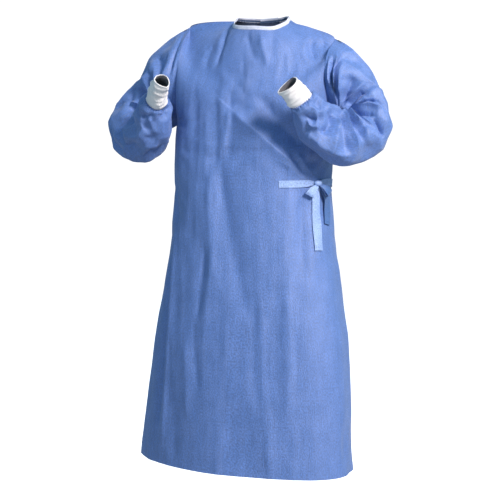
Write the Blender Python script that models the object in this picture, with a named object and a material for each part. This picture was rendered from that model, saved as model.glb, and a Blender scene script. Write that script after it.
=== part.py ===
"""A worn surgical gown with its back wrapped shut and its side tie in a bow.

Metres, +Z up. The origin is the middle of the neck opening, where the wearer's neck and shoulders hold the
gown. The front faces -Y and the wearer's left side is at +X.

Every panel is a grid of points. A row of a body panel runs across it, from one side edge to the other, and
the rows follow named levels from the neckline to the hem. A row of a sleeve or cuff is a ring, and the rings
follow named stations from the armhole to the wrist.
"""

import math

import bpy
import numpy as np

# Driving dimensions
WALL = 0.0016            # cloth wall, thick enough to stay one sound solid
KNIT_WALL = 0.0024       # ribbed knit of the cuffs
SEAM_GAP = 0.0003        # between the edges of pieces that are sewn together
FLAP_GAP = 0.0055        # from the outer back flap's face to the inner one's where they overlap
BINDING_HEIGHT = 0.011
BINDING_WALL = 0.0022
BINDING_LEAN = 0.45      # share of the panel's own slope in the binding's rise, the rest is straight up
TIE_WALL = 0.0012
KNOT_HALF = (0.0110, 0.0100, 0.0075)    # of the bow's knot, across, down and out
KNOT_OUT = 0.0095                       # from the front panel's face to the knot's middle

# Finishes: colour and roughness
CLOTH = ((0.115, 0.225, 0.590), 0.75)
KNIT = ((0.800, 0.790, 0.780), 0.90)
TAPE = ((0.760, 0.780, 0.820), 0.80)

# Rows of a body panel in each stretch, columns across it, and rings along the sleeves and cuffs
SHOULDER_ROWS = 4
ARMHOLE_ROWS = 12
SKIRT_ROWS = 16
FRONT_COLUMNS = 28
OUTER_FLAP_COLUMNS = 17
INNER_FLAP_COLUMNS = 13
SLEEVE_RINGS = 20
CUFF_RINGS = 4
SHARP_EDGE = 50.0        # degrees between faces
SLOPE_STEP = 0.01        # of a level and of a row, over which the body's slope is taken
RIM_ORDER = (1.0, 2.0, 3.0)    # direction that says which way a rim is split, the same on both sides of a seam

# The levels of the body. At each, a row runs from the right edge (wearer's right, at -X) over the centre to
# the left edge. The edges are the shoulder, armhole and side seams. bend is the power that shapes a row: a
# small one gives a flat middle and tight corners.
LEVEL_COLUMNS = ("right_x", "left_x", "right_z", "left_z", "front_edge_y", "back_edge_y", "left_shift_y",
                 "front_y", "front_z", "back_y", "back_z", "bend_right", "bend_left", "bend_back", "bend_z")
LEVELS = {
    "neckline":      (-0.078, 0.078, 0.006, -0.004, 0.000, 0.000, 0.000, -0.080, -0.029, 0.066, 0.012,
                      0.85, 0.85, 0.90, 0.60),
    "mid_shoulder":  (-0.140, 0.140, 0.008, -0.022, 0.000, 0.000, 0.000, -0.097, -0.085, 0.094, -0.040,
                      1.00, 1.00, 1.00, 0.75),
    "shoulder_end":  (-0.212, 0.205, -0.004, -0.054, 0.000, 0.000, 0.000, -0.114, -0.145, 0.114, -0.103,
                      1.40, 1.40, 1.30, 0.95),
    "armhole_upper": (-0.213, 0.203, -0.060, -0.092, -0.056, 0.058, 0.000, -0.124, -0.185, 0.124, -0.150,
                      1.45, 1.45, 1.35, 1.00),
    "armhole_mid":   (-0.218, 0.199, -0.140, -0.150, -0.080, 0.083, 0.000, -0.132, -0.225, 0.130, -0.195,
                      1.20, 1.20, 1.15, 1.00),
    "armhole_low":   (-0.228, 0.202, -0.220, -0.222, -0.057, 0.060, 0.000, -0.137, -0.260, 0.134, -0.240,
                      0.92, 0.92, 0.95, 1.00),
    "underarm":      (-0.238, 0.204, -0.268, -0.268, 0.005, 0.005, 0.000, -0.140, -0.295, 0.137, -0.280,
                      0.75, 0.75, 0.85, 1.00),
    "chest":         (-0.241, 0.198, -0.335, -0.335, 0.005, 0.005, 0.000, -0.144, -0.350, 0.140, -0.345,
                      0.75, 0.75, 0.85, 1.00),
    "waist":         (-0.242, 0.194, -0.430, -0.430, 0.000, 0.000, -0.005, -0.150, -0.436, 0.145, -0.435,
                      0.78, 0.75, 0.85, 1.00),
    "hip":           (-0.260, 0.210, -0.620, -0.620, -0.005, -0.005, -0.015, -0.164, -0.620, 0.160, -0.620,
                      0.90, 0.72, 0.90, 1.00),
    "knee":          (-0.312, 0.250, -0.880, -0.880, -0.010, -0.010, -0.030, -0.182, -0.880, 0.180, -0.880,
                      1.08, 0.68, 1.00, 1.00),
    "hem":           (-0.353, 0.268, -1.200, -1.200, -0.015, -0.015, -0.045, -0.201, -1.200, 0.200, -1.200,
                      1.28, 0.64, 1.08, 1.00),
}
NECKLINE, SHOULDER_END, UNDERARM, HEM = 0, 2, 6, 11
ROUND_LEVELS = 1.5       # levels over which the panel rounds off at the shoulder's end
ROUND_SHARE = 0.35       # share of a row, from its side edge, over which the rounding sets in
ROUND_SAMPLES = 7

# How far across the back each flap reaches, from -1 at the right edge to 1 at the left one, at these levels
FLAP_LEVELS = (0, 2, 6, 8, 11)
FLAP_COLUMNS = ("outer_edge", "inner_edge")
FLAP_REACH = {
    "neckline": (0.20, -0.20),
    "shoulder_end": (0.32, -0.25),
    "underarm": (0.50, -0.35),
    "waist": (0.60, -0.45),
    "hem": (0.60, -0.50),
}
TUCK_FROM, TUCK_TO = 0.05, 0.28    # past the outer flap's edge, where the inner flap comes back out

# Largest folds of the body: a line from start to end as seen from the front, how far it spreads to each side
# and how high it stands. A height below 0 is a trough.
FRONT_FOLDS = {
    # name              start_x start_z  end_x   end_z   spread height
    "neck_trough":     (-0.006, -0.050, 0.026, -0.125, 0.017, -0.0050),
    "neck_ridge":      (0.034, -0.055, 0.058, -0.130, 0.017, 0.0040),
    "right_trough":    (-0.091, -0.215, -0.088, -0.420, 0.017, -0.0060),
    "right_ridge":     (-0.118, -0.270, -0.112, -0.430, 0.018, 0.0050),
    "middle_trough":   (-0.048, -0.217, -0.055, -0.404, 0.018, -0.0045),
    "bow_ridge":       (-0.030, -0.262, 0.165, -0.425, 0.018, 0.0060),
    "bow_trough":      (0.030, -0.235, 0.150, -0.355, 0.026, -0.0060),
    "long_trough":     (-0.086, -0.425, 0.043, -0.840, 0.034, -0.0075),
    "right_skirt":     (-0.108, -0.640, -0.128, -0.830, 0.020, -0.0050),
    "low_right_skirt": (-0.134, -0.860, -0.112, -1.060, 0.022, -0.0045),
    "middle_skirt":    (0.040, -0.740, 0.042, -1.000, 0.020, -0.0040),
    "left_skirt":      (0.150, -0.820, 0.154, -1.000, 0.022, -0.0045),
    "side_ridge":      (-0.215, -0.600, -0.255, -1.120, 0.022, 0.0050),
}
BACK_FOLDS = {
    # name              start_x start_z  end_x   end_z   spread height
    "right_yoke":      (-0.060, -0.045, -0.120, -0.200, 0.018, -0.0045),
    "left_yoke":       (0.055, -0.045, 0.105, -0.210, 0.018, -0.0045),
    "blade_ridge":     (-0.030, -0.140, -0.055, -0.340, 0.022, 0.0050),
    "upper_drag":      (-0.160, -0.360, 0.090, -0.440, 0.018, -0.0045),
    "lower_drag":      (-0.110, -0.500, 0.110, -0.455, 0.018, 0.0040),
    "right_skirt":     (-0.150, -0.560, -0.205, -1.120, 0.030, -0.0080),
    "middle_skirt":    (-0.050, -0.600, -0.080, -1.180, 0.030, 0.0080),
    "flap_skirt":      (0.055, -0.560, 0.040, -1.140, 0.028, -0.0070),
    "left_skirt":      (0.130, -0.620, 0.160, -1.120, 0.026, 0.0050),
}
FOLD_END = 0.25     # height of a fold at its ends, as a share of its height halfway
EDGE_CALM = 0.16    # share of a row, from its side edge, over which the folds die out towards the seam

# Stations of a sleeve: the point on its outer side, the point on its inner side and its thickness across.
# The outer side is the top of the shoulder, then the back of the elbow, then the underside of the forearm.
# pinch is the share by which the tube is narrower on its inner side, where the cloth bunches in the crook.
SLEEVE_COLUMNS = ("outer_x", "outer_y", "outer_z", "inner_x", "inner_y", "inner_z", "thickness", "pinch")
LEFT_SLEEVE = {
    "armhole":     (0.205, 0.000, -0.054, 0.204, 0.005, -0.268, 0.160, 0.00),
    "upper_arm":   (0.252, -0.001, -0.086, 0.222, -0.014, -0.268, 0.158, 0.30),
    "mid_arm":     (0.296, -0.001, -0.140, 0.230, -0.032, -0.259, 0.145, 0.50),
    "above_elbow": (0.327, -0.003, -0.205, 0.238, -0.050, -0.250, 0.130, 0.62),
    "elbow_back":  (0.346, -0.006, -0.253, 0.248, -0.062, -0.245, 0.125, 0.68),
    "elbow_tip":   (0.347, -0.015, -0.307, 0.254, -0.070, -0.247, 0.125, 0.68),
    "elbow_under": (0.323, -0.034, -0.363, 0.252, -0.080, -0.251, 0.125, 0.62),
    "forearm_low": (0.255, -0.088, -0.392, 0.243, -0.100, -0.247, 0.115, 0.50),
    "mid_forearm": (0.197, -0.146, -0.362, 0.230, -0.134, -0.238, 0.100, 0.30),
    "wrist":       (0.166, -0.172, -0.318, 0.211, -0.157, -0.224, 0.086, 0.15),
    "gathers":     (0.150, -0.188, -0.270, 0.202, -0.172, -0.214, 0.076, 0.00),
    "sleeve_end":  (0.147, -0.194, -0.250, 0.195, -0.178, -0.212, 0.056, 0.00),
}
RIGHT_SLEEVE = {
    "armhole":     (-0.212, 0.000, -0.004, -0.238, 0.005, -0.268, 0.160, 0.00),
    "upper_arm":   (-0.262, 0.002, -0.034, -0.256, -0.008, -0.270, 0.160, 0.30),
    "mid_arm":     (-0.325, 0.004, -0.088, -0.278, -0.026, -0.262, 0.148, 0.50),
    "above_elbow": (-0.375, 0.004, -0.165, -0.296, -0.046, -0.246, 0.135, 0.62),
    "elbow_back":  (-0.412, 0.002, -0.235, -0.311, -0.060, -0.235, 0.128, 0.68),
    "elbow_tip":   (-0.426, -0.006, -0.295, -0.320, -0.070, -0.235, 0.125, 0.68),
    "elbow_under": (-0.394, -0.026, -0.351, -0.316, -0.082, -0.238, 0.132, 0.62),
    "forearm_low": (-0.326, -0.074, -0.376, -0.298, -0.100, -0.235, 0.134, 0.50),
    "mid_forearm": (-0.268, -0.130, -0.350, -0.286, -0.130, -0.223, 0.118, 0.30),
    "wrist":       (-0.230, -0.166, -0.308, -0.264, -0.157, -0.208, 0.100, 0.15),
    "gathers":     (-0.216, -0.188, -0.264, -0.252, -0.176, -0.199, 0.080, 0.00),
    "sleeve_end":  (-0.212, -0.196, -0.245, -0.245, -0.182, -0.201, 0.054, 0.00),
}
LEFT_CUFF = {
    "seam":   (0.147, -0.194, -0.250, 0.195, -0.178, -0.212, 0.056, 0.00),
    "middle": (0.135, -0.212, -0.232, 0.181, -0.196, -0.193, 0.051, 0.00),
    "rim":    (0.1235, -0.229, -0.214, 0.168, -0.213, -0.175, 0.047, 0.00),
}
RIGHT_CUFF = {
    "seam":   (-0.212, -0.196, -0.245, -0.245, -0.182, -0.201, 0.054, 0.00),
    "middle": (-0.197, -0.226, -0.219, -0.227, -0.211, -0.180, 0.046, 0.00),
    "rim":    (-0.183, -0.256, -0.195, -0.209, -0.241, -0.159, 0.040, 0.00),
}
PINCH_POWER = 1.5        # keeps the pinch to the inner side of the tube
INNER_PULL = 0.5         # how far the rings stand square to the tube's inner side rather than to its outer side
ARMHOLE_BLEND = 3.2      # stations over which a sleeve turns from the armhole's shape into round rings

# Largest folds of a sleeve, by angle in degrees from its outer side round its front, and by station
LEFT_ARM_FOLDS = {
    # name       start_angle start_station end_angle end_station spread height
    "cap_trough":    (60, 0.7, 25, 1.9, 0.014, -0.0045),
    "upper_trough":  (165, 3.9, 80, 1.2, 0.013, -0.0070),
    "upper_ridge":   (150, 3.4, 55, 1.6, 0.014, 0.0070),
    "elbow_trough":  (145, 4.3, 30, 3.6, 0.013, -0.0065),
    "elbow_ridge":   (150, 4.8, 35, 4.6, 0.013, 0.0070),
    "under_trough":  (150, 5.5, 45, 5.8, 0.013, -0.0065),
    "fore_ridge":    (150, 6.2, 65, 7.3, 0.014, 0.0060),
    "fore_trough":   (145, 7.1, 60, 8.4, 0.014, -0.0050),
    "rear_trough":   (200, 3.8, 285, 1.6, 0.014, -0.0060),
    "rear_ridge":    (205, 4.7, 305, 4.4, 0.014, 0.0060),
    "rear_under":    (205, 5.6, 300, 6.2, 0.014, -0.0055),
}
RIGHT_ARM_FOLDS = {
    # name       start_angle start_station end_angle end_station spread height
    "cap_trough":    (75, 0.5, 30, 1.6, 0.014, -0.0045),
    "upper_trough":  (160, 3.4, 70, 1.7, 0.014, -0.0065),
    "upper_ridge":   (150, 4.0, 40, 2.4, 0.014, 0.0065),
    "elbow_trough":  (155, 4.6, 45, 4.0, 0.013, -0.0070),
    "elbow_ridge":   (145, 5.2, 50, 5.0, 0.013, 0.0060),
    "long_trough":   (120, 5.6, 40, 7.6, 0.014, -0.0070),
    "fore_ridge":    (135, 6.6, 75, 8.2, 0.014, 0.0060),
    "rear_trough":   (205, 3.6, 280, 1.9, 0.014, -0.0055),
    "rear_ridge":    (200, 4.5, 300, 4.9, 0.014, 0.0060),
    "rear_under":    (210, 6.0, 285, 7.2, 0.014, -0.0055),
}
ARM_RADIUS, STATION_STEP = 0.060, 0.042    # metres of cloth in a radian round the arm and in a station
CROOK_CALM = (10, 50)    # degrees from the inner side over which folds die out in the crook of the elbow

# Ties, measured from the knot on the front panel's face: metres to the wearer's left, down, out, and width
KNOT_TURN, KNOT_LEVEL = 0.715, 8.05
TURN_METRES, LEVEL_METRES = 0.225, 0.190   # of cloth in a whole turn number and in a level, near the knot
TIE_COLUMNS = ("left", "down", "out", "width")
TIE_FRONT = {
    "sewn_end": (-0.0945, 0.000, 0.0022, 0.0245),
    "flat":     (-0.0500, 0.000, 0.0024, 0.0245),
    "rising":   (-0.0250, -0.001, 0.0044, 0.0225),
    "knot":     (-0.0105, -0.001, 0.0065, 0.0140),
}
TIE_BACK = {
    "knot":     (0.0105, -0.002, 0.0062, 0.0140),
    "falling":  (0.0260, -0.003, 0.0040, 0.0225),
    "side":     (0.0640, -0.004, 0.0030, 0.0245),
    "rear":     (0.1250, -0.002, 0.0026, 0.0245),
    "sewn_end": (0.1760, 0.000, 0.0018, 0.0245),
}
TAIL_FRONT = {
    "knot":   (0.0005, 0.0092, 0.0060, 0.0130),
    "spread": (0.0000, 0.0300, 0.0038, 0.0235),
    "middle": (0.0015, 0.0900, 0.0028, 0.0245),
    "end":    (0.0030, 0.1760, 0.0028, 0.0245),
}
TAIL_BACK = {
    "knot":   (0.0079, 0.0073, 0.0085, 0.0110),
    "spread": (0.0230, 0.0260, 0.0095, 0.0200),
    "turn":   (0.0420, 0.0560, 0.0080, 0.0240),
    "hang":   (0.0440, 0.0840, 0.0060, 0.0245),
    "end":    (0.0380, 0.1160, 0.0045, 0.0245),
}
LOOP_LEFT = {
    "leaving":   (-0.0056, 0.0083, 0.0122, 0.0110),
    "top":       (-0.0145, 0.0180, 0.0165, 0.0200),
    "far_top":   (-0.0230, 0.0330, 0.0165, 0.0240),
    "turn":      (-0.0265, 0.0395, 0.0125, 0.0245),
    "far_under": (-0.0235, 0.0340, 0.0086, 0.0235),
    "under":     (-0.0145, 0.0190, 0.0082, 0.0190),
    "returning": (-0.0059, 0.0088, 0.0088, 0.0110),
}
LOOP_RIGHT = {
    "leaving":   (0.0056, 0.0060, 0.0145, 0.0100),
    "top":       (0.0160, 0.0175, 0.0225, 0.0190),
    "far_top":   (0.0290, 0.0310, 0.0235, 0.0235),
    "turn":      (0.0345, 0.0370, 0.0190, 0.0240),
    "far_under": (0.0290, 0.0320, 0.0148, 0.0230),
    "under":     (0.0170, 0.0185, 0.0138, 0.0185),
    "returning": (0.0072, 0.0077, 0.0112, 0.0100),
}
TIE_STEP, TIE_PARTS = 0.010, 6    # longest piece of a tie between two rows of points, and fewest pieces
KNOT_SIDES, KNOT_RINGS = 12, 6


def column(table, columns, name):
    """One named column of a table, as an array."""
    return np.array([row[columns.index(name)] for row in table.values()], float)


def smooth(places, values, at):
    """The height at each place of a smooth curve through the values, which never overshoots them."""
    places, values, at = (np.asarray(v, float) for v in (places, values, at))
    step = np.diff(places)
    slope = np.diff(values) / step
    before, after = slope[:-1], slope[1:]
    mean = (before * step[1:] + after * step[:-1]) / (step[:-1] + step[1:])
    limit = 3 * np.minimum(abs(before), abs(after))
    inner = np.where(before * after > 0, np.sign(mean) * np.minimum(abs(mean), limit), 0.0)
    tangent = np.concatenate([slope[:1], inner, slope[-1:]])
    k = np.clip(np.searchsorted(places, at, side="right") - 1, 0, len(step) - 1)
    t = (at - places[k]) / step[k]
    height = values[k] * (1 + 2 * t) * (1 - t) ** 2 + values[k + 1] * t * t * (3 - 2 * t)
    return height + step[k] * (tangent[k] * t * (1 - t) ** 2 - tangent[k + 1] * t * t * (1 - t))


def smoothstep(low, high, value):
    t = np.clip((np.asarray(value, float) - low) / (high - low), 0, 1)
    return t * t * (3 - 2 * t)


def unit(v):
    return v / np.maximum(np.linalg.norm(v, axis=-1, keepdims=True), 1e-12)


def level(name, at):
    """A column of LEVELS at these level numbers."""
    return smooth(range(len(LEVELS)), column(LEVELS, LEVEL_COLUMNS, name), at)


def flap_reach(name, rows):
    return smooth(FLAP_LEVELS, column(FLAP_REACH, FLAP_COLUMNS, name), rows)


def body_levels():
    """The level number of each row of a body panel."""
    return np.concatenate([
        np.linspace(NECKLINE, SHOULDER_END, SHOULDER_ROWS, endpoint=False),
        np.linspace(SHOULDER_END, UNDERARM, ARMHOLE_ROWS, endpoint=False),
        np.linspace(UNDERARM, HEM, SKIRT_ROWS + 1),
    ])


def level_body(rows, across, side):
    """Points of the unfolded front or back, as LEVELS gives them. across runs from -1 at the right edge to 1."""
    rows, across = np.broadcast_arrays(rows, across)
    right = across < 0
    if side == "front":
        bend = np.where(right, level("bend_right", rows), level("bend_left", rows))
    else:
        bend = level("bend_back", rows)
    quarter = np.clip(abs(across), 0, 1) * math.pi / 2
    reach, depth = np.sin(quarter), np.cos(quarter)
    edge_x = np.where(right, level("right_x", rows), level("left_x", rows))
    edge_z = np.where(right, level("right_z", rows), level("left_z", rows))
    edge_y = level(side + "_edge_y", rows) + np.where(right, 0.0, level("left_shift_y", rows))
    middle_x = (level("right_x", rows) + level("left_x", rows)) / 2
    x = middle_x + (edge_x - middle_x) * reach ** bend
    y = edge_y + (level(side + "_y", rows) - edge_y) * depth ** bend
    z = edge_z + (level(side + "_z", rows) - edge_z) * depth ** level("bend_z", rows)
    return np.stack([x, y, z], -1)


def plain_body(rows, across, side):
    """Points of the unfolded front or back. The corner at the shoulder's end rounds off inside the panel."""
    rows, across = np.broadcast_arrays(rows, across)
    reach = ROUND_LEVELS * np.exp(-((rows - SHOULDER_END) / ROUND_LEVELS) ** 2)
    reach = np.minimum(reach, np.maximum(rows - NECKLINE, 0)) * smoothstep(0, ROUND_SHARE, 1 - abs(across))
    steps = np.linspace(-1, 1, ROUND_SAMPLES)
    weights = 1 - 0.8 * abs(steps)
    total = sum(w * level_body(rows + reach * step, across, side) for step, w in zip(steps, weights))
    return total / weights.sum()


def body_normals(rows, across, side):
    """Outward normals of the unfolded front or back."""
    above, below = np.clip(rows - SLOPE_STEP, NECKLINE, HEM), np.clip(rows + SLOPE_STEP, NECKLINE, HEM)
    before, after = np.clip(across - SLOPE_STEP, -1, 1), np.clip(across + SLOPE_STEP, -1, 1)
    down = plain_body(below, across, side) - plain_body(above, across, side)
    left = plain_body(rows, after, side) - plain_body(rows, before, side)
    return unit(np.cross(down, left)) * (1 if side == "front" else -1)


def fold_height(u, v, folds):
    """Height of all folds at these places. Each fades from its line to the sides and towards its ends."""
    total = np.zeros(np.broadcast(u, v).shape)
    for start_u, start_v, end_u, end_v, spread, height in folds.values():
        along_u, along_v = end_u - start_u, end_v - start_v
        share = ((u - start_u) * along_u + (v - start_v) * along_v) / (along_u ** 2 + along_v ** 2)
        share = np.clip(share, 0, 1)
        apart = np.hypot(u - start_u - share * along_u, v - start_v - share * along_v)
        fade = FOLD_END + (1 - FOLD_END) * np.sin(math.pi * share)
        total = total + height * np.exp(-(apart / spread) ** 2) * fade
    return total


def body_surface(rows, across, side, out=0.0):
    """Points of the folded front or back, moved out by a distance."""
    rows, across = np.broadcast_arrays(rows, across)
    points = plain_body(rows, across, side)
    folds = FRONT_FOLDS if side == "front" else BACK_FOLDS
    calm = smoothstep(0, EDGE_CALM, 1 - abs(across))
    height = fold_height(points[..., 0], points[..., 2], folds) * calm + out
    return points + height[..., None] * body_normals(rows, across, side)


def grid_normals(points, around=False):
    """Outward normals of a grid whose columns run to the right and whose rows run down, seen from outside."""
    if around:
        padded = np.concatenate([points[:, -1:], points, points[:, :1]], 1)
        across = padded[:, 2:] - padded[:, :-2]
    else:
        across = np.gradient(points, axis=1)
    return unit(np.cross(np.gradient(points, axis=0), across))


def body_grids():
    """The grids of the front, the outer back flap and the inner one. Their seam edges are the same points."""
    rows = body_levels()[:, None]
    front = body_surface(rows, np.linspace(-1, 1, FRONT_COLUMNS + 1), "front")
    share = np.linspace(0, 1, OUTER_FLAP_COLUMNS + 1)
    outer_end = flap_reach("outer_edge", rows)
    outer = body_surface(rows, outer_end + (-1 - outer_end) * share, "back")
    share = np.linspace(0, 1, INNER_FLAP_COLUMNS + 1)
    across = 1 + (flap_reach("inner_edge", rows) - 1) * share
    tuck = FLAP_GAP * (1 - smoothstep(outer_end + TUCK_FROM, outer_end + TUCK_TO, across))
    return front, outer, body_surface(rows, across, "back", -tuck)


def tube_rings(table, count, rings):
    """Rings round a bent tube. Each starts at the tube's outer side and goes round its front."""
    at = np.linspace(0, len(table) - 1, rings + 1)
    value = {n: smooth(range(len(table)), column(table, SLEEVE_COLUMNS, n), at) for n in SLEEVE_COLUMNS}
    outer = np.stack([value["outer_" + axis] for axis in "xyz"], -1)
    inner = np.stack([value["inner_" + axis] for axis in "xyz"], -1)
    centre, half = (outer + inner) / 2, (outer - inner) / 2
    along = unit(np.gradient(outer, axis=0)) * (1 - INNER_PULL) + unit(np.gradient(inner, axis=0)) * INNER_PULL
    to_front = -1.0 if centre[0, 0] > 0 else 1.0
    side = to_front * unit(np.cross(half, along)) * value["thickness"][:, None] / 2
    angle = np.arange(count)[None, :, None] * 2 * math.pi / count
    narrow = 1 - value["pinch"][:, None, None] * ((1 - np.cos(angle)) / 2) ** PINCH_POWER
    return centre[:, None] + np.cos(angle) * half[:, None] + np.sin(angle) * narrow * side[:, None]


def sleeve_grid(table, folds, armhole):
    """The rings of a sleeve, the first of which is the armhole."""
    count = armhole.shape[0]
    rings = tube_rings(table, count, SLEEVE_RINGS)
    at = np.linspace(0, len(table) - 1, SLEEVE_RINGS + 1)[:, None]
    round_share = smoothstep(0.0, ARMHOLE_BLEND, at)[..., None]
    centre = rings.mean(1, keepdims=True)
    rings = (armhole[None] + centre - centre[0]) * (1 - round_share) + rings * round_share
    angle = np.arange(count)[None] * 2 * math.pi / count
    unrolled = {
        name: (math.radians(start_angle) * ARM_RADIUS, start * STATION_STEP,
               math.radians(end_angle) * ARM_RADIUS, end * STATION_STEP, spread, height)
        for name, (start_angle, start, end_angle, end, spread, height) in folds.items()
    }
    height = fold_height(angle * ARM_RADIUS, at * STATION_STEP, unrolled)
    height = height * smoothstep(0, 1, at) * smoothstep(0, 1, len(table) - 1 - at)
    height = height * smoothstep(*CROOK_CALM, abs(np.degrees(angle) - 180))
    return rings + height[..., None] * tube_normals(rings)


def tube_normals(rings):
    """Outward normals of rings that go round the front of the wearer's left or right sleeve."""
    return grid_normals(rings, around=True) * (-1 if rings[0, 0, 0] > 0 else 1)


def share_normals(*edges):
    """Gives the places where edges meet one normal, so that their walls lie side by side."""
    mean = unit(sum(grid[where] for grid, where in edges))
    for grid, where in edges:
        grid[where] = mean


def part_edge(grid, normals, edge, neighbour, around=False):
    """Moves an edge of a grid back from the seam by half the seam's gap."""
    line = grid[edge]
    if around:
        travel = np.roll(line, -1, axis=0) - np.roll(line, 1, axis=0)
    else:
        travel = np.gradient(line, axis=0)
    back = unit(np.cross(normals[edge], travel))
    side = np.sign((back * (grid[neighbour] - line)).sum())
    grid[edge] = line + side * back * SEAM_GAP / 2


def material(name, finish):
    colour, roughness = finish
    made = bpy.data.materials.new(name)
    made.use_nodes = True
    shader = made.node_tree.nodes["Principled BSDF"]
    shader.inputs["Base Color"].default_value = (*colour, 1)
    shader.inputs["Roughness"].default_value = roughness
    shader.inputs["Metallic"].default_value = 0.0
    made.diffuse_color = (*colour, 1)
    return made


def closed_object(name, points, faces, finish):
    mesh = bpy.data.meshes.new(name)
    mesh.from_pydata(points.tolist(), [], faces)
    mesh.update()
    mesh.materials.append(material(name, finish))
    mesh.shade_smooth()
    mesh.set_sharp_from_angle(angle=math.radians(SHARP_EDGE))
    made = bpy.data.objects.new(name, mesh)
    bpy.context.scene.collection.objects.link(made)
    return made


def cloth_solid(name, outer, normals, wall, finish, around=False):
    """A closed wall of cloth: the outer grid, the same grid moved in by the wall, and the rims between."""
    rows, columns = outer.shape[:2]
    inner = outer - wall * normals
    wide = np.concatenate([outer, outer[:, :1]], 1) if around else outer
    falling = np.linalg.norm(wide[1:, 1:] - wide[:-1, :-1], axis=-1)
    rising = np.linalg.norm(wide[1:, :-1] - wide[:-1, 1:], axis=-1)
    inside = rows * columns

    def at(row, place):
        return row * columns + place % columns

    faces = []
    for r in range(rows - 1):
        for c in range(wide.shape[1] - 1):
            quad = (at(r, c), at(r + 1, c), at(r + 1, c + 1), at(r, c + 1))
            if rising[r, c] < falling[r, c]:
                quad = quad[1:] + quad[:1]
            for corners in ((quad[0], quad[1], quad[2]), (quad[0], quad[2], quad[3])):
                faces.append(corners)
                faces.append(tuple(inside + corner for corner in reversed(corners)))
    rims = [(at(0, c), at(0, c + 1)) for c in range(wide.shape[1] - 1)]
    rims += [(at(rows - 1, c + 1), at(rows - 1, c)) for c in range(wide.shape[1] - 1)]
    if not around:
        rims += [(at(r + 1, 0), at(r, 0)) for r in range(rows - 1)]
        rims += [(at(r, columns - 1), at(r + 1, columns - 1)) for r in range(rows - 1)]
    points = np.concatenate([outer.reshape(-1, 3), inner.reshape(-1, 3)])
    order = points @ RIM_ORDER
    for start, end in rims:
        if order[start] > order[end]:
            faces += [(start, end, inside + end), (start, inside + end, inside + start)]
        else:
            faces += [(start, end, inside + start), (end, inside + end, inside + start)]
    return closed_object(name, points, faces, finish)


def body_and_sleeves():
    """Makes the body panels, the sleeves and the cuffs, and gives the neckline that the binding follows."""
    front, outer, inner = body_grids()
    top, low = SHOULDER_ROWS, SHOULDER_ROWS + ARMHOLE_ROWS
    left = sleeve_grid(LEFT_SLEEVE, LEFT_ARM_FOLDS,
                       np.concatenate([front[top:low + 1, -1], inner[low - 1:top:-1, 0]]))
    right = sleeve_grid(RIGHT_SLEEVE, RIGHT_ARM_FOLDS,
                        np.concatenate([front[top:low + 1, 0], outer[low - 1:top:-1, -1]]))
    neckline = np.concatenate([outer[:2], front[:2, 1:], inner[:2, 1:]], 1)
    count = left.shape[1]
    left_cuff = tube_rings(LEFT_CUFF, count, CUFF_RINGS)
    right_cuff = tube_rings(RIGHT_CUFF, count, CUFF_RINGS)
    normals = {
        "front": grid_normals(front), "outer": grid_normals(outer), "inner": grid_normals(inner),
        "left": tube_normals(left), "right": tube_normals(right),
        "left_cuff": tube_normals(left_cuff), "right_cuff": tube_normals(right_cuff),
    }
    armhole_rows = np.arange(top, low + 1)
    back_rows = armhole_rows[-2:0:-1]
    ring = np.arange(count)
    sewn = np.r_[0:top + 1, low:len(front)]
    for back, back_edge, front_edge, arm in (("outer", -1, 0, "right"), ("inner", 0, -1, "left")):
        share_normals((normals["front"], (sewn, front_edge)), (normals[back], (sewn, back_edge)))
        halves = ((normals["front"], (armhole_rows, front_edge), ring[:len(armhole_rows)]),
                  (normals[back], (back_rows, back_edge), ring[len(armhole_rows):]))
        for body, where, part in halves:
            share_normals((body, where), (normals[arm], (0, part)))
        for row in (top, low):
            normals[back][row, back_edge] = normals["front"][row, front_edge]
    for arm, tube, cuff in (("left", left, left_cuff), ("right", right, right_cuff)):
        cuff[0] = tube[-1]
        share_normals((normals[arm], -1), (normals[arm + "_cuff"], 0))
        part_edge(tube, normals[arm], 0, 1, around=True)
        part_edge(tube, normals[arm], -1, -2, around=True)
        part_edge(cuff, normals[arm + "_cuff"], 0, 1, around=True)
    for name, grid, edge, beside in (("front", front, 0, 1), ("front", front, -1, -2),
                                     ("outer", outer, -1, -2), ("inner", inner, 0, 1)):
        part_edge(grid, normals[name], (slice(None), edge), (slice(None), beside))
    cloth_solid("front_panel", front, normals["front"], WALL, CLOTH)
    cloth_solid("back_flap_outer", outer, normals["outer"], WALL, CLOTH)
    cloth_solid("back_flap_inner", inner, normals["inner"], WALL, CLOTH)
    for arm, tube, cuff in (("left", left, left_cuff), ("right", right, right_cuff)):
        turn = slice(None, None, -1 if arm == "left" else 1)
        cloth_solid("sleeve_" + arm, tube[:, turn], normals[arm][:, turn], WALL, CLOTH, around=True)
        cloth_solid("cuff_" + arm, cuff[:, turn], normals[arm + "_cuff"][:, turn], KNIT_WALL, KNIT,
                    around=True)
    return neckline


def neck_binding(neckline):
    """A band that stands on the neckline, from the outer flap's edge round the front to the inner one's."""
    slope = unit(neckline[0] - neckline[1])
    rise = unit(BINDING_LEAN * slope + (1 - BINDING_LEAN) * np.array([0, 0, 1.0]))
    heights = np.array([BINDING_HEIGHT, BINDING_HEIGHT / 2, SEAM_GAP])[:, None, None]
    band = neckline[0][None] + heights * rise[None]
    cloth_solid("neck_binding", band, grid_normals(band), BINDING_WALL, TAPE)


def by_knot(left, down, out):
    """Points near the bow, by metres to the wearer's left of the knot, down from it and out from the cloth."""
    turn = KNOT_TURN + left / TURN_METRES
    rows = KNOT_LEVEL + down / LEVEL_METRES
    ahead = body_surface(rows, np.clip(turn, -1, 1), "front", out)
    behind = body_surface(rows, np.clip(2 - turn, -1, 1), "back", out)
    return np.where((turn <= 1)[..., None], ahead, behind)


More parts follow.
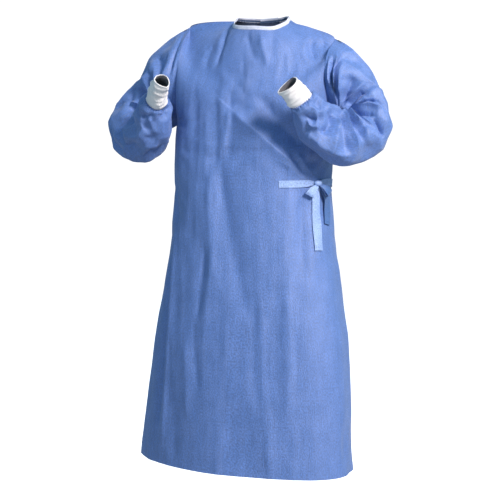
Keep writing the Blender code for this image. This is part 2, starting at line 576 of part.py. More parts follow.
def tie(name, table, is_loop=False):
    """A flat tie along the rows of a table. A loop runs out and back along one straight way."""
    places = np.array(list(table.values()))
    length = np.r_[0, np.cumsum(np.linalg.norm(np.diff(places[:, :3], axis=0), axis=1))]
    at = np.linspace(0, length[-1], max(TIE_PARTS, math.ceil(length[-1] / TIE_STEP)) + 1)
    left, down, out, width = (smooth(length, column(table, TIE_COLUMNS, name), at) for name in TIE_COLUMNS)
    way = unit(np.gradient(np.stack([left, down], -1), axis=0))
    if is_loop:
        way = np.broadcast_to(unit(places[len(places) // 2, :2] - places[0, :2]), way.shape)
    edges = [by_knot(left + way[:, 1] * width * half, down - way[:, 0] * width * half, out)
             for half in (-0.5, 0.5)]
    grid = np.stack(edges, 1)
    cloth_solid(name, grid, grid_normals(grid), TIE_WALL, CLOTH)


def knot():
    """The tight knot of the bow, a flattened ball of cloth."""
    directions, faces = [], []
    for ring in range(KNOT_RINGS + 1):
        tilt = math.pi * ring / KNOT_RINGS
        for place in range(KNOT_SIDES if 0 < ring < KNOT_RINGS else 1):
            turn = 2 * math.pi * place / KNOT_SIDES
            directions.append((math.sin(tilt) * math.cos(turn), math.sin(tilt) * math.sin(turn), math.cos(tilt)))
    last = len(directions) - 1
    for place in range(KNOT_SIDES):
        after = (place + 1) % KNOT_SIDES
        faces.append((0, 1 + after, 1 + place))
        faces.append((last, last - KNOT_SIDES + place, last - KNOT_SIDES + after))
        for ring in range(KNOT_RINGS - 2):
            high = 1 + ring * KNOT_SIDES
            low = high + KNOT_SIDES
            faces.append((high + place, high + after, low + after, low + place))
    left, down, out = (np.array(directions) * KNOT_HALF).T
    closed_object("bow_knot", by_knot(left, down, KNOT_OUT + out), faces, CLOTH)


def main():
    for old in list(bpy.data.objects):
        bpy.data.objects.remove(old)
    neck_binding(body_and_sleeves())
    tie("tie_front", TIE_FRONT)
    tie("tie_back", TIE_BACK)
    tie("tail_front", TAIL_FRONT)
    tie("tail_back", TAIL_BACK)
    tie("loop_left", LOOP_LEFT, is_loop=True)
    tie("loop_right", LOOP_RIGHT, is_loop=True)
    knot()


main()
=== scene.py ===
"""The looks of a worn surgical gown: thin creased cloth shells, knit cuffs, binding, bow, stitches and light.

Metres, +Z up, in the frame's own axes: the front faces -Y and the wearer's left side is at +X. The tables of
levels, stations, ties and creases are in millimetres. Every panel is a grid of points worked out from the
same named levels and stations as its solid, with finer rows. Tables place its main creases, a seeded
noise gives it crisp crumples, and a short cloth simulation settles it into its last small folds.
"""

import math

import bpy
import numpy as np
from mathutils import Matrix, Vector, noise


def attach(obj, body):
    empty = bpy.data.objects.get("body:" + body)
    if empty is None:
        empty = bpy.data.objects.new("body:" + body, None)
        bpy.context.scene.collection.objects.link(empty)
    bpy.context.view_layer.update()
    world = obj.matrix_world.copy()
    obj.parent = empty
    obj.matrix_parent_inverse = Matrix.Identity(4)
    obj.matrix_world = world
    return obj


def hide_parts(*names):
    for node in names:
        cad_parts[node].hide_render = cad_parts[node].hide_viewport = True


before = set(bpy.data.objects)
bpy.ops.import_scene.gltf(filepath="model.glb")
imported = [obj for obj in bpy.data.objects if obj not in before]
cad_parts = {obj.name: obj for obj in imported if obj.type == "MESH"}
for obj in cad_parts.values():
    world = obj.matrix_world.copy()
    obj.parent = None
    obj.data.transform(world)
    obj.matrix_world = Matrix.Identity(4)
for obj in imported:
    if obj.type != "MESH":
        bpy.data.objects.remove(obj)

MM = 0.001               # metres in a millimetre

# Driving dimensions
WALL = 0.0009            # visible cloth, thinner than the solid's sound wall
KNIT_WALL = 0.0022
SEAM_GAP = 0.0003
FLAP_GAP = 0.0055        # from the outer back flap's face to the inner one's where they overlap
BINDING_HEIGHT = 0.011
BINDING_WALL = 0.0022
BINDING_LEAN = 0.45      # share of the panel's own slope in the binding's rise, the rest is straight up
TIE_WALL = 0.0009
KNOT_HALF = (0.0110, 0.0100, 0.0075)    # of the bow's knot, across, down and out
KNOT_OUT = 0.0095                       # from the front panel's face to the knot's middle

# Rows of a body panel in each stretch, columns across it, and rings along the sleeves and cuffs
SHOULDER_ROWS = 18
ARMHOLE_ROWS = 72
SKIRT_ROWS = 174
FRONT_COLUMNS = 168
OUTER_FLAP_COLUMNS = 120
INNER_FLAP_COLUMNS = 104
SLEEVE_RINGS = 192
CUFF_RINGS = 44
CUFF_COLUMNS = 336
SLOPE_STEP = 0.01        # of a level and of a row, over which the body's slope is taken
BINDING_ROWS = 10
TIE_STEP, TIE_PARTS, TIE_STRANDS = 0.0025, 24, 11
KNOT_SIDES, KNOT_RINGS = 48, 24
SHARP_EDGE = 60.0        # degrees between faces
CLOTH_MAP = "cloth"

# The levels of the body. At each, a row runs from the right edge (wearer's right, at -X) over the centre to
# the left edge. The edges are the shoulder, armhole and side seams. bend is the power that shapes a row: a
# small one gives a flat middle and tight corners. Every column but those of PLAIN_COLUMNS is in millimetres.
LEVEL_COLUMNS = ("right_x", "left_x", "right_z", "left_z", "front_edge_y", "back_edge_y", "left_shift_y",
                 "front_y", "front_z", "back_y", "back_z", "bend_right", "bend_left", "bend_back", "bend_z")
LEVELS = {
    "neckline": (-78, 78, 6, -4, 0, 0, 0, -80, -29, 66, 12, 0.85, 0.85, 0.9, 0.6),
    "mid_shoulder": (-140, 140, 8, -22, 0, 0, 0, -97, -85, 94, -40, 1, 1, 1, 0.75),
    "shoulder_end": (-212, 205, -4, -54, 0, 0, 0, -114, -145, 114, -103, 1.4, 1.4, 1.3, 0.95),
    "armhole_upper": (-213, 203, -60, -92, -56, 58, 0, -124, -185, 124, -150, 1.45, 1.45, 1.35, 1),
    "armhole_mid": (-218, 199, -140, -150, -80, 83, 0, -132, -225, 130, -195, 1.2, 1.2, 1.15, 1),
    "armhole_low": (-228, 202, -220, -222, -57, 60, 0, -137, -260, 134, -240, 0.92, 0.92, 0.95, 1),
    "underarm": (-238, 204, -268, -268, 5, 5, 0, -140, -295, 137, -280, 0.75, 0.75, 0.85, 1),
    "chest": (-241, 198, -335, -335, 5, 5, 0, -144, -350, 140, -345, 0.75, 0.75, 0.85, 1),
    "waist": (-242, 194, -430, -430, 0, 0, -5, -150, -436, 145, -435, 0.78, 0.75, 0.85, 1),
    "hip": (-260, 210, -620, -620, -5, -5, -15, -164, -620, 160, -620, 0.9, 0.72, 0.9, 1),
    "knee": (-312, 250, -880, -880, -10, -10, -30, -182, -880, 180, -880, 1.08, 0.68, 1, 1),
    "hem": (-353, 268, -1200, -1200, -15, -15, -45, -201, -1200, 200, -1200, 1.28, 0.64, 1.08, 1),
}
NECKLINE, SHOULDER_END, UNDERARM, HEM = 0, 2, 6, 11
ROUND_LEVELS = 1.5       # levels over which the panel rounds off at the shoulder's end
ROUND_SHARE = 0.35       # share of a row, from its side edge, over which the rounding sets in
ROUND_SAMPLES = 7

# How far across the back each flap reaches, from -1 at the right edge to 1 at the left one, at these levels
FLAP_LEVELS = (0, 2, 6, 8, 11)
FLAP_COLUMNS = ("outer_edge", "inner_edge")
PLAIN_COLUMNS = ("bend_right", "bend_left", "bend_back", "bend_z", "pinch") + FLAP_COLUMNS
FLAP_REACH = {
    "neckline": (0.20, -0.20),
    "shoulder_end": (0.32, -0.25),
    "underarm": (0.50, -0.35),
    "waist": (0.60, -0.45),
    "hem": (0.60, -0.50),
}
TUCK_FROM, TUCK_TO = 0.05, 0.28    # past the outer flap's edge, where the inner flap comes back out

# Stations of a sleeve: the point on its outer side, the point on its inner side and its thickness across.
# The outer side is the top of the shoulder, then the back of the elbow, then the underside of the forearm.
# pinch is the share by which the tube is narrower on its inner side, where the cloth bunches in the crook.
SLEEVE_COLUMNS = ("outer_x", "outer_y", "outer_z", "inner_x", "inner_y", "inner_z", "thickness", "pinch")
LEFT_SLEEVE = {
    "armhole": (205, 0, -54, 204, 5, -268, 160, 0),
    "upper_arm": (252, -1, -86, 222, -14, -268, 158, 0.3),
    "mid_arm": (296, -1, -140, 230, -32, -259, 145, 0.5),
    "above_elbow": (327, -3, -205, 238, -50, -250, 130, 0.62),
    "elbow_back": (346, -6, -253, 248, -62, -245, 125, 0.68),
    "elbow_tip": (347, -15, -307, 254, -70, -247, 125, 0.68),
    "elbow_under": (323, -34, -363, 252, -80, -251, 125, 0.62),
    "forearm_low": (255, -88, -392, 243, -100, -247, 115, 0.5),
    "mid_forearm": (197, -146, -362, 230, -134, -238, 100, 0.3),
    "wrist": (166, -172, -318, 211, -157, -224, 86, 0.15),
    "gathers": (150, -188, -270, 202, -172, -214, 76, 0),
    "sleeve_end": (147, -194, -250, 195, -178, -212, 56, 0),
}
RIGHT_SLEEVE = {
    "armhole": (-212, 0, -4, -238, 5, -268, 160, 0),
    "upper_arm": (-262, 2, -34, -256, -8, -270, 160, 0.3),
    "mid_arm": (-325, 4, -88, -278, -26, -262, 148, 0.5),
    "above_elbow": (-375, 4, -165, -296, -46, -246, 135, 0.62),
    "elbow_back": (-412, 2, -235, -311, -60, -235, 128, 0.68),
    "elbow_tip": (-426, -6, -295, -320, -70, -235, 125, 0.68),
    "elbow_under": (-394, -26, -351, -316, -82, -238, 132, 0.62),
    "forearm_low": (-326, -74, -376, -298, -100, -235, 134, 0.5),
    "mid_forearm": (-268, -130, -350, -286, -130, -223, 118, 0.3),
    "wrist": (-230, -166, -308, -264, -157, -208, 100, 0.15),
    "gathers": (-216, -188, -264, -252, -176, -199, 80, 0),
    "sleeve_end": (-212, -196, -245, -245, -182, -201, 54, 0),
}
LEFT_CUFF = {
    "seam": LEFT_SLEEVE["sleeve_end"],
    "middle": (135, -212, -232, 181, -196, -193, 51, 0),
    "rim": (123.5, -229, -214, 168, -213, -175, 47, 0),
}
RIGHT_CUFF = {
    "seam": RIGHT_SLEEVE["sleeve_end"],
    "middle": (-196, -226, -219, -228, -211, -180, 46, 0),
    "rim": (-173, -252.5, -193, -199, -237.5, -157, 40, 0),
}
PINCH_POWER = 1.5        # keeps the pinch to the inner side of the tube
INNER_PULL = 0.5         # how far the rings stand square to the tube's inner side, not to its outer side
ARMHOLE_BLEND = 3.2      # stations over which a sleeve turns from the armhole's shape into round rings

# Ties, measured from the knot on the front panel's face: to the wearer's left, down, out, and width
KNOT_TURN, KNOT_LEVEL = 0.715, 8.05
TURN_METRES, LEVEL_METRES = 0.225, 0.190    # of cloth in a whole turn number and in a level, near the knot
TIE_COLUMNS = ("left", "down", "out", "width")
TIE_FRONT = {
    "sewn_end": (-94.5, 0, 2.2, 24.5),
    "flat": (-50, 0, 2.4, 24.5),
    "rising": (-25, -1, 4.4, 22.5),
    "knot": (-10.5, -1, 6.5, 14),
}
TIE_BACK = {
    "knot": (10.5, -2, 6.2, 14),
    "falling": (26, -3, 4, 22.5),
    "side": (64, -4, 3, 24.5),
    "rear": (125, -2, 2.6, 24.5),
    "sewn_end": (176, 0, 1.8, 24.5),
}
TAIL_FRONT = {
    "knot": (0.5, 9.2, 6, 13),
    "spread": (0, 30, 3.8, 23.5),
    "middle": (-0.5, 90, 3.4, 26.5),
    "end": (-2, 176, 3.6, 28.5),
}
TAIL_BACK = {
    "knot": (7.9, 7.3, 8.5, 11),
    "spread": (23, 26, 9.5, 20),
    "turn": (42, 56, 8, 24),
    "hang": (44, 84, 6, 24.5),
    "end": (38, 116, 4.5, 24.5),
}
LOOP_LEFT = {
    "leaving": (-5.6, 8.3, 12.2, 11),
    "top": (-14.5, 18, 16.5, 20),
    "far_top": (-23, 33, 16.5, 24),
    "turn": (-26.5, 39.5, 12.5, 24.5),
    "far_under": (-23.5, 34, 8.6, 23.5),
    "under": (-14.5, 19, 8.2, 19),
    "returning": (-5.9, 8.8, 8.8, 11),
}
LOOP_RIGHT = {
    "leaving": (5.6, 6, 14.5, 10),
    "top": (16, 17.5, 22.5, 19),
    "far_top": (29, 31, 23.5, 23.5),
    "turn": (34.5, 37, 19, 24),
    "far_under": (29, 32, 14.8, 23),
    "under": (17, 18.5, 13.8, 18.5),
    "returning": (7.2, 7.7, 11.2, 10),
}

# How all creases are drawn from their tables
BODY_GAIN = 1.6          # on the tables' heights
ARM_GAINS = {"left": 2.4, "right": 1.2}
CREASE_NARROW = 0.8      # on the tables' widths
CREASE_CRISP = 0.8       # on the tables' crispness: below one, the crests are sharper
CREASE_TIP = 0.0022      # radius of a crisp crest
CREASE_WANDER, CREASE_WAVE = 0.0012, 0.030    # how far a crease strays from its line, and over what length
CREASE_WIDEST, CREASE_TAPER = 0.4, 0.8        # where along it a crease is widest, and how much it narrows
CREASE_START, CREASE_RISE, CREASE_FADE = 0.4, 0.15, 0.30    # height at its start, shares of rise and fade
ARM_RADIUS, STATION_STEP = 0.060, 0.042    # metres of cloth in a radian round the arm and in a station
CROOK_CALM = (6, 34)     # degrees from the inner side over which creases die out in the crook of the elbow
EDGE_CALM = 0.10         # share of a row, from its side edge, over which the creases die out towards the seam

# Creases. Each runs along a bowed line from start to end, its height changes evenly between them, and a
# height below 0 is a trough. crisp is 1 for a sharp crest with hollow flanks and 2 for a soft round one.
# The columns: start u and v, end u and v, bow, width to the left and right of its travel, height at start and
# end, crisp. On the body, u is x and v is z.
FRONT_CREASES = {
    "neck_crease": (-84, -12, -101, -145, -4, 9, 9, -7.5, -2, 1.3),
    "neck_crease_rim": (-96, -20, -116, -140, -4, 12, 10, 3, 1, 1.5),
    "yoke_crease": (-120, -60, -136, -140, 0, 10, 12, -2.5, -1, 1.6),
    "neck_trough": (-12, -45, 26, -125, 4, 15, 15, -4.8, -1.8, 1.7),
    "neck_ridge": (26, -48, 54, -135, 3, 14, 14, 5.5, 2, 1.6),
    "neck_far_trough": (58, -45, 62, -120, 0, 12, 12, -2.1, -0.9, 1.6),
    "chest_bead": (98, -100, 106, -160, 0, 10, 10, 1.8, 0.6, 1.6),
    "left_drape": (150, -55, 172, -120, 6, 12, 12, -6, -3, 1.5),
    "left_drape_rim": (132, -62, 150, -128, 4, 12, 12, 3, 1, 1.6),
    "left_cap": (176, -60, 186, -90, 0, 8, 8, -4, -1, 1.5),
    "centre_small": (-16, -118, -8, -175, 0, 9, 9, -1.4, -0.4, 1.6),
    "right_trough": (-88, -205, -84, -420, -10, 16, 12, -1.5, -2.5, 1.5),
    "right_ridge": (-112, -260, -112, -440, -4, 13, 14, 1.5, 2.4, 1.5),
    "side_trough": (-140, -215, -150, -400, 2, 16, 16, -1.5, -0.9, 1.7),
    "middle_trough": (-46, -205, -52, -404, -11, 14, 13, -3.3, -2.2, 1.4),
    "middle_ridge": (-66, -225, -73, -400, -6, 11, 12, 1.2, 1.7, 1.6),
    "bow_ridge": (-34, -250, 168, -430, -6, 52, 18, 10, 6.4, 1.2),
    "bow_hollow": (45, -225, 158, -345, 4, 36, 30, -9.5, -10.5, 2),
    "bow_drag": (128, -375, 163, -425, 0, 8, 8, -4, -1.5, 1.3),
    "bow_drag_ridge": (140, -365, 176, -425, 0, 8, 8, 3.5, 1.8, 1.3),
    "bow_drag_inner": (105, -385, 150, -428, 0, 9, 9, 2, 1, 1.5),
    "triangle_edge": (-40, -245, -58, -380, 0, 14, 8, 5, 0.6, 1.3),
    "long_trough": (-70, -380, 46, -850, 12, 34, 26, -5.3, -2.1, 1.8),
    "long_ridge": (-96, -430, -60, -740, 10, 20, 22, 4, 1, 1.7),
    "right_skirt": (-106, -620, -131, -830, -3, 14, 14, -4.8, -2.5, 1.5),
    "right_skirt_rim": (-86, -640, -100, -860, 0, 16, 16, 2.8, 1.4, 1.7),
    "low_right_skirt": (-135, -800, -112, -1010, 6, 15, 12, -2.1, -1.7, 1.6),
    "low_right_rim": (-160, -860, -150, -1090, 0, 18, 18, 3, 1.6, 1.8),
    "middle_skirt": (38, -730, 39, -1000, -2, 12, 12, -2, -1.2, 1.5),
    "middle_skirt_rim": (60, -760, 66, -1040, 0, 16, 16, 2.2, 1.4, 1.8),
    "left_skirt": (148, -820, 153, -1010, 0, 12, 12, -1.8, -1, 1.5),
    "left_skirt_rim": (124, -700, 130, -1120, -6, 22, 22, 3.4, 2.4, 1.9),
    "under_bow": (152, -470, 166, -700, 4, 16, 16, -4.6, -1.4, 1.6),
    "side_ridge": (-212, -580, -246, -1190, -4, 13, 13, 5, 5.2, 1.4),
    "side_hollow": (-228, -560, -270, -1190, -4, 14, 16, -5, -5, 1.7),
    "side_waist": (-215, -400, -205, -580, 0, 16, 16, -3.5, -2, 1.7),
    "hem_left": (80, -980, 88, -1200, 0, 24, 24, 0.5, 4.5, 1.9),
    "hem_middle": (-10, -940, -16, -1200, 0, 26, 26, -0.5, -4, 1.9),
    "hem_right": (-190, -1000, -200, -1200, 0, 22, 22, -0.5, -4.5, 1.9),
}
BACK_CREASES = {
    "right_yoke": (-60, -30, -120, -200, 6, 12, 14, -7, -2, 1.5),
    "right_yoke_rim": (-85, -40, -145, -190, 6, 14, 12, 4, 1, 1.6),
    "left_yoke": (50, -35, 105, -210, -6, 12, 14, -6, -2, 1.5),
    "left_yoke_rim": (75, -50, 135, -190, -4, 12, 14, 4, 1, 1.6),
    "nape": (-10, -30, -16, -150, 3, 12, 12, -3.5, -1, 1.6),
    "blade_ridge": (-30, -140, -55, -340, 0, 20, 18, 5, 3, 1.6),
    "blade_trough": (-75, -160, -92, -350, 4, 16, 16, -5, -3.5, 1.5),
    "left_blade": (120, -200, 95, -370, 0, 16, 16, -4.5, -3, 1.5),
    "upper_drag": (-170, -350, 95, -436, 10, 15, 13, -4.5, -6, 1.4),
    "upper_drag_rim": (-165, -325, 85, -405, 10, 14, 12, 3, 4, 1.4),
    "waist_drag": (-120, -470, 110, -446, -6, 13, 13, 3.5, 5, 1.4),
    "low_drag": (-50, -535, 105, -470, -8, 13, 13, -3, -5, 1.4),
    "right_skirt": (-150, -520, -205, -1190, -8, 28, 30, -6.5, -7.5, 1.8),
    "right_skirt_rim": (-105, -560, -140, -1190, -6, 22, 26, 4.8, 6, 1.7),
    "middle_skirt": (-45, -580, -78, -1190, 4, 24, 24, -5.5, -7, 1.7),
    "middle_skirt_rim": (-5, -600, -22, -1190, 4, 24, 24, 5.5, 7, 1.7),
    "flap_skirt": (52, -560, 44, -1190, 6, 24, 24, -6, -7, 1.7),
    "left_skirt": (130, -560, 164, -1190, 4, 22, 26, 5, 6, 1.7),
    "left_skirt_hollow": (172, -600, 206, -1190, 4, 22, 22, -4.5, -5.5, 1.8),
    "right_side": (-222, -560, -272, -1190, -4, 18, 20, 4.5, 6, 1.6),
}
# On a sleeve, u is the angle in degrees from its outer side round its front, and v is the station, not in mm
LEFT_ARM_CREASES = {
    "seam_ridge": (60, 0.3, 112, 0.55, 0, 7, 8, 4, 5, 1.3),
    "seam_trough": (58, 0.62, 114, 0.85, 0, 8, 8, -5, -7, 1.3),
    "cap_slit": (55, 0.85, 78, 1.05, 0, 6, 6, -2, -5, 1.4),
    "cap_ridge": (50, 0.95, 112, 1.15, 3, 7, 8, 3, 7, 1.2),
    "cap_triangle": (44, 1.35, 116, 1.55, 4, 11, 10, -3, -10, 1.4),
    "upper_ridge": (46, 1.6, 122, 2.1, 4, 8, 10, 3, 8, 1.2),
    "upper_trough": (64, 2.5, 138, 2.9, -4, 9, 9, -1.5, -9, 1.3),
    "arm_ridge": (60, 3, 142, 3.35, -3, 9, 8, 2, 8, 1.2),
    "arm_trough": (92, 3.65, 150, 3.75, 4, 8, 8, -6, -10, 1.3),
    "arm_long": (30, 3.6, 100, 4.05, 6, 10, 10, 1, 4, 1.5),
    "elbow_upper": (80, 4.35, 156, 4.3, 0, 6, 8, -5, -10, 1.2),
    "elbow_ridge": (74, 4.75, 158, 4.85, 0, 7, 7, 6, 8, 1.1),
    "elbow_lower": (92, 5.15, 156, 5.35, 0, 7, 6, -5.5, -11, 1.2),
    "elbow_fold": (100, 5.45, 48, 5.7, -4, 7, 6, -3, -8, 1.2),
    "under_ridge": (84, 5.8, 156, 5.75, 0, 9, 8, 3, 7.5, 1.2),
    "fan_first": (100, 6.25, 52, 6.35, 3, 8, 9, 5.5, 2, 1.2),
    "fan_first_in": (152, 6.15, 100, 6.25, 0, 8, 8, 7.5, 5.5, 1.2),
    "fan_hollow": (150, 6.5, 58, 6.62, 3, 10, 10, -9.5, -2.5, 1.5),
    "fan_second": (148, 6.88, 46, 6.98, -3, 9, 9, 8, 3, 1.1),
    "fan_valley": (140, 7.3, 38, 7.35, 3, 10, 10, -9, -3, 1.5),
    "fan_third": (128, 7.72, 33, 7.72, 3, 7, 9, 7, 5, 1.1),
    "crook_curve": (132, 8.05, 68, 8.62, -12, 8, 9, -8, -4.5, 1.2),
    "wrist_ridge": (58, 9.35, 86, 8.55, 4, 7, 9, 3, 4.5, 1.2),
    "wrist_trough": (66, 9.6, 96, 8.95, 4, 7, 7, -3, -3.5, 1.4),
    "wrist_second": (100, 9.8, 118, 9, 0, 8, 8, 3, 2, 1.4),
    "under_edge": (46, 8.4, 60, 7.05, 6, 10, 14, 3.5, 3.5, 1.5),
    "elbow_flat": (20, 4.6, -28, 5.4, 4, 12, 12, -4, -2, 1.5),
    "rear_first": (206, 2.2, 292, 0.95, 6, 9, 10, -8.5, -2.5, 1.3),
    "rear_first_rim": (206, 2.85, 300, 1.65, 6, 9, 10, 7.5, 2.5, 1.2),
    "rear_second": (204, 3.55, 306, 2.7, 4, 9, 10, -9.5, -2, 1.3),
    "rear_second_rim": (204, 4.1, 312, 3.6, 4, 8, 9, 8, 2.5, 1.2),
    "rear_third": (202, 4.6, 308, 4.5, 0, 8, 9, -10, -2, 1.3),
    "rear_third_rim": (202, 5.1, 312, 5.2, 0, 8, 9, 8, 3, 1.1),
    "rear_fourth": (204, 5.6, 306, 5.9, -4, 9, 9, -9.5, -2.5, 1.3),
    "rear_fourth_rim": (206, 6.15, 310, 6.65, -4, 9, 10, 7.5, 2.5, 1.2),
    "rear_fifth": (210, 6.8, 304, 7.35, -4, 10, 10, -8, -2.5, 1.4),
    "rear_fifth_rim": (216, 7.45, 300, 8.2, -4, 9, 10, 6, 2, 1.3),
    "rear_wrist": (240, 8.3, 280, 9.5, 4, 9, 9, -4.5, -2, 1.5),
}
RIGHT_ARM_CREASES = {
    "seam_trough": (26, 0.35, 88, 0.8, 3, 12, 12, -5, -8.5, 1.6),
    "seam_ridge": (48, 0.12, 92, 0.35, 0, 7, 8, 2, 4.5, 1.4),
    "cap_facet": (50, 1.1, 96, 1.25, 0, 12, 10, 3.5, 6, 1.4),
    "cap_wedge": (30, 1.95, 96, 1.62, 5, 9, 9, -7, -8, 1.3),
    "cap_wedge_rim": (40, 2.15, 104, 2, 4, 9, 8, 3.5, 6, 1.2),
    "thin_crease": (58, 2.48, 112, 2.25, 0, 6, 6, -4, -6, 1.2),
    "arm_facet": (60, 2.85, 124, 2.75, 0, 12, 10, 4.5, 7, 1.3),
    "arm_trough": (96, 3.35, 150, 3.6, 6, 10, 10, -6, -10.5, 1.3),
    "arm_rim": (70, 3.4, 98, 3.5, 0, 9, 8, 3, 4, 1.4),
    "elbow_wedge": (84, 3.75, 112, 4.9, 6, 10, 12, -8, -6, 1.3),
    "elbow_rim": (152, 4.15, 100, 4.3, 0, 9, 10, 8.5, 4.5, 1.2),
    "elbow_inner": (154, 4.75, 112, 4.95, 0, 8, 8, -9.5, -4, 1.3),
    "under_rim": (152, 5.35, 92, 5.45, 0, 9, 9, 8, 4.5, 1.2),
    "long_fold": (128, 5.6, 40, 8.55, -10, 10, 22, -8.5, -7, 1.2),
    "long_fold_rim": (132, 6.6, 48, 8.95, -10, 10, 9, 6.5, 4, 1.2),
    "edge_ridge": (86, 5.7, 58, 7.1, 0, 8, 8, 4.5, 3.5, 1.2),
    "edge_trough": (70, 5.4, 40, 6.9, 0, 8, 8, -4, -3.5, 1.3),
    "edge_second": (52, 5.6, 24, 6.8, 0, 8, 8, 3.5, 2, 1.3),
    "tip_crease": (42, 8.6, 2, 8.75, 4, 7, 9, -5, -4, 1.2),
    "tip_rim": (30, 8.1, -12, 8.3, 4, 8, 8, 4.5, 4, 1.2),
    "tip_second": (18, 7.7, -22, 7.9, 4, 8, 8, -4, -3, 1.3),
    "tip_third": (8, 7.35, -24, 7.45, 0, 8, 8, 4, 3, 1.2),
    "cuff_crease": (78, 9.45, 30, 10.2, 4, 6, 8, -3.5, -5, 1.3),
    "cuff_crease_rim": (84, 9.1, 30, 9.8, 4, 9, 9, 3.5, 3.5, 1.5),
    "inner_fan": (146, 7.4, 90, 8.4, -6, 9, 9, -8, -3, 1.4),
    "inner_fan_rim": (140, 8.1, 88, 9, -4, 9, 9, 5.5, 2.5, 1.4),
    "rear_first": (208, 2.1, 288, 1.15, 6, 9, 10, -8, -2.5, 1.3),
    "rear_first_rim": (206, 2.8, 296, 1.9, 6, 9, 10, 7.5, 2.5, 1.2),
    "rear_second": (204, 3.45, 304, 2.9, 4, 9, 10, -9, -2, 1.3),
    "rear_second_rim": (204, 4.05, 308, 3.8, 4, 8, 9, 8, 3, 1.2),
    "rear_third": (202, 4.6, 310, 4.75, 0, 8, 9, -9.5, -2, 1.3),
    "rear_third_rim": (202, 5.15, 306, 5.5, 0, 8, 9, 8, 2.5, 1.1),
    "rear_fourth": (204, 5.75, 304, 6.3, -4, 9, 10, -9, -2.5, 1.3),
    "rear_fourth_rim": (208, 6.4, 302, 7.1, -4, 9, 10, 7, 2.5, 1.2),
    "rear_fifth": (214, 7.2, 296, 8, -4, 10, 10, -6.5, -2.5, 1.4),
    "rear_wrist": (236, 8.5, 284, 9.4, 4, 10, 10, 4, 2, 1.5),
}

# How the neckline sags: place across at which it sags most, width of the sag across, drop, levels it reaches
NECK_SAG = {"front": (0.42, 0.34, 0.0075), "back": (-0.10, 0.42, 0.0040)}
SAG_LEVELS = 1.4

# Small unevenness of the cloth: size of the lumps across and along the cloth, their height, seed
BODY_LUMPS = {
    "drape":   (0.090, 0.330, 0.0030, 3.0),
    "ripple":  (0.034, 0.120, 0.0011, 11.0),
    "crumple": (0.016, 0.040, 0.0004, 23.0),
}
ARM_LUMPS = {
    "drape":   (0.060, 0.060, 0.0022, 5.0),
    "ripple":  (0.026, 0.022, 0.0012, 13.0),
    "crumple": (0.012, 0.011, 0.0004, 29.0),
}

# Crisp crumples: size of their hollows across and along the cloth, height, seed, and the levels or stations
# from and to which they reach
FACET_MEAN = 0.33        # of a crumple's height, on average
FACET_FADE = 0.8         # levels or stations on each side over which they set in
BODY_FACETS = {
    "ripple": (0.026, 0.210, 0.0016, 4.0, 0.0, 12.0),
    "facet":  (0.075, 0.150, 0.0018, 8.0, 0.0, 12.0),
    "chest":  (0.032, 0.240, 0.0020, 15.0, 0.0, 12.0),
}
ARM_FACETS = {
    "shoulder": (0.034, 0.110, 0.0085, 6.0, 1.0, 5.0),
    "elbow":    (0.110, 0.030, 0.0130, 9.0, 4.5, 9.5),
    "facet":    (0.066, 0.064, 0.0120, 21.0, 1.0, 12.0),
    "crush":    (0.024, 0.030, 0.0012, 17.0, 1.0, 12.0),
}
CUFF_FACETS = {
    "wrinkle": (0.030, 0.0110, 0.0060, 7.0, -1.0, 2.0),
}
GATHERS, GATHER_HEIGHT, GATHER_FADE = 30, 0.0019, 0.85    # puckers at a sleeve's end, and stations they reach
CUFF_RIBS, RIB_HEIGHT = 42, 0.00030
CUFF_RADIUS, CUFF_LENGTH = 0.025, 0.060    # of the cloth that the cuff's crumples are drawn on

# Settling of the cloth into its own small folds
SETTLE_FRAMES = 20
SETTLE_STEP = 8          # rows and columns of a panel from one point of the coarse net to the next
MOST_SPARE = 0.12        # of its length that the cloth is cut too large
MOST_MOVE = 0.020
SLEEVE_HOLD, SLEEVE_SPARE = 0.40, (0.35, 1.0)    # spare length at the outer and inner side, of the most
BODY_HOLD, BODY_SPARE = 0.32, 0.03
CLOTH_SETTINGS = {
    "quality": 4, "mass": 0.05, "tension_stiffness": 15.0, "compression_stiffness": 15.0,
    "shear_stiffness": 5.0, "bending_stiffness": 0.5, "tension_damping": 2.0, "compression_damping": 2.0,
    "shear_damping": 2.0, "bending_damping": 0.2, "air_damping": 1.0, "pin_stiffness": 1.0,
}
settled_ways = {}        # how far the cloth of the front and back moved, kept here once they have settled

# Rolled wrinkles round a cuff: share of its length, height, how far the roll wanders along it
LEFT_ROLLS = ((0.10, 0.0008, 0.05), (0.55, 0.0004, 0.06))
RIGHT_ROLLS = ((0.10, 0.0020, 0.04), (0.28, 0.0026, 0.06), (0.45, 0.0024, 0.05), (0.62, 0.0018, 0.06))
ROLL_WIDTH = 0.050       # of a cuff's length

# Camera: the photograph's viewpoint and frame
IMAGE_PIXELS = 500
SENSOR = 36.0
FOCAL_PIXELS = 1168.0
CAMERA_AT = (1.063, -3.018, -0.470)
CAMERA_AIM = (-0.031, -0.011, -0.620)
FLOOR_Z = -1.42
FLOOR_HALF = 7.0
FLOOR_SEEN, FLOOR_LIT = 0.95, 0.45    # glow that only the camera sees, and paleness that lights the gown
FLOOR_PALE = 0.92        # its paleness to the camera
WORLD_LIGHT, WORLD_SEEN = 0.47, 1.10
LIT_POINT = (-0.03, -0.05, -0.45)
LIGHTS = (
    ("key", (3.0, -2.0, 1.7), 1.0, 262.0, (1.0, 0.90, 0.86)),
    ("fill", (-1.6, -3.2, 0.2), 1.8, 12.0, (0.80, 0.90, 1.0)),
)

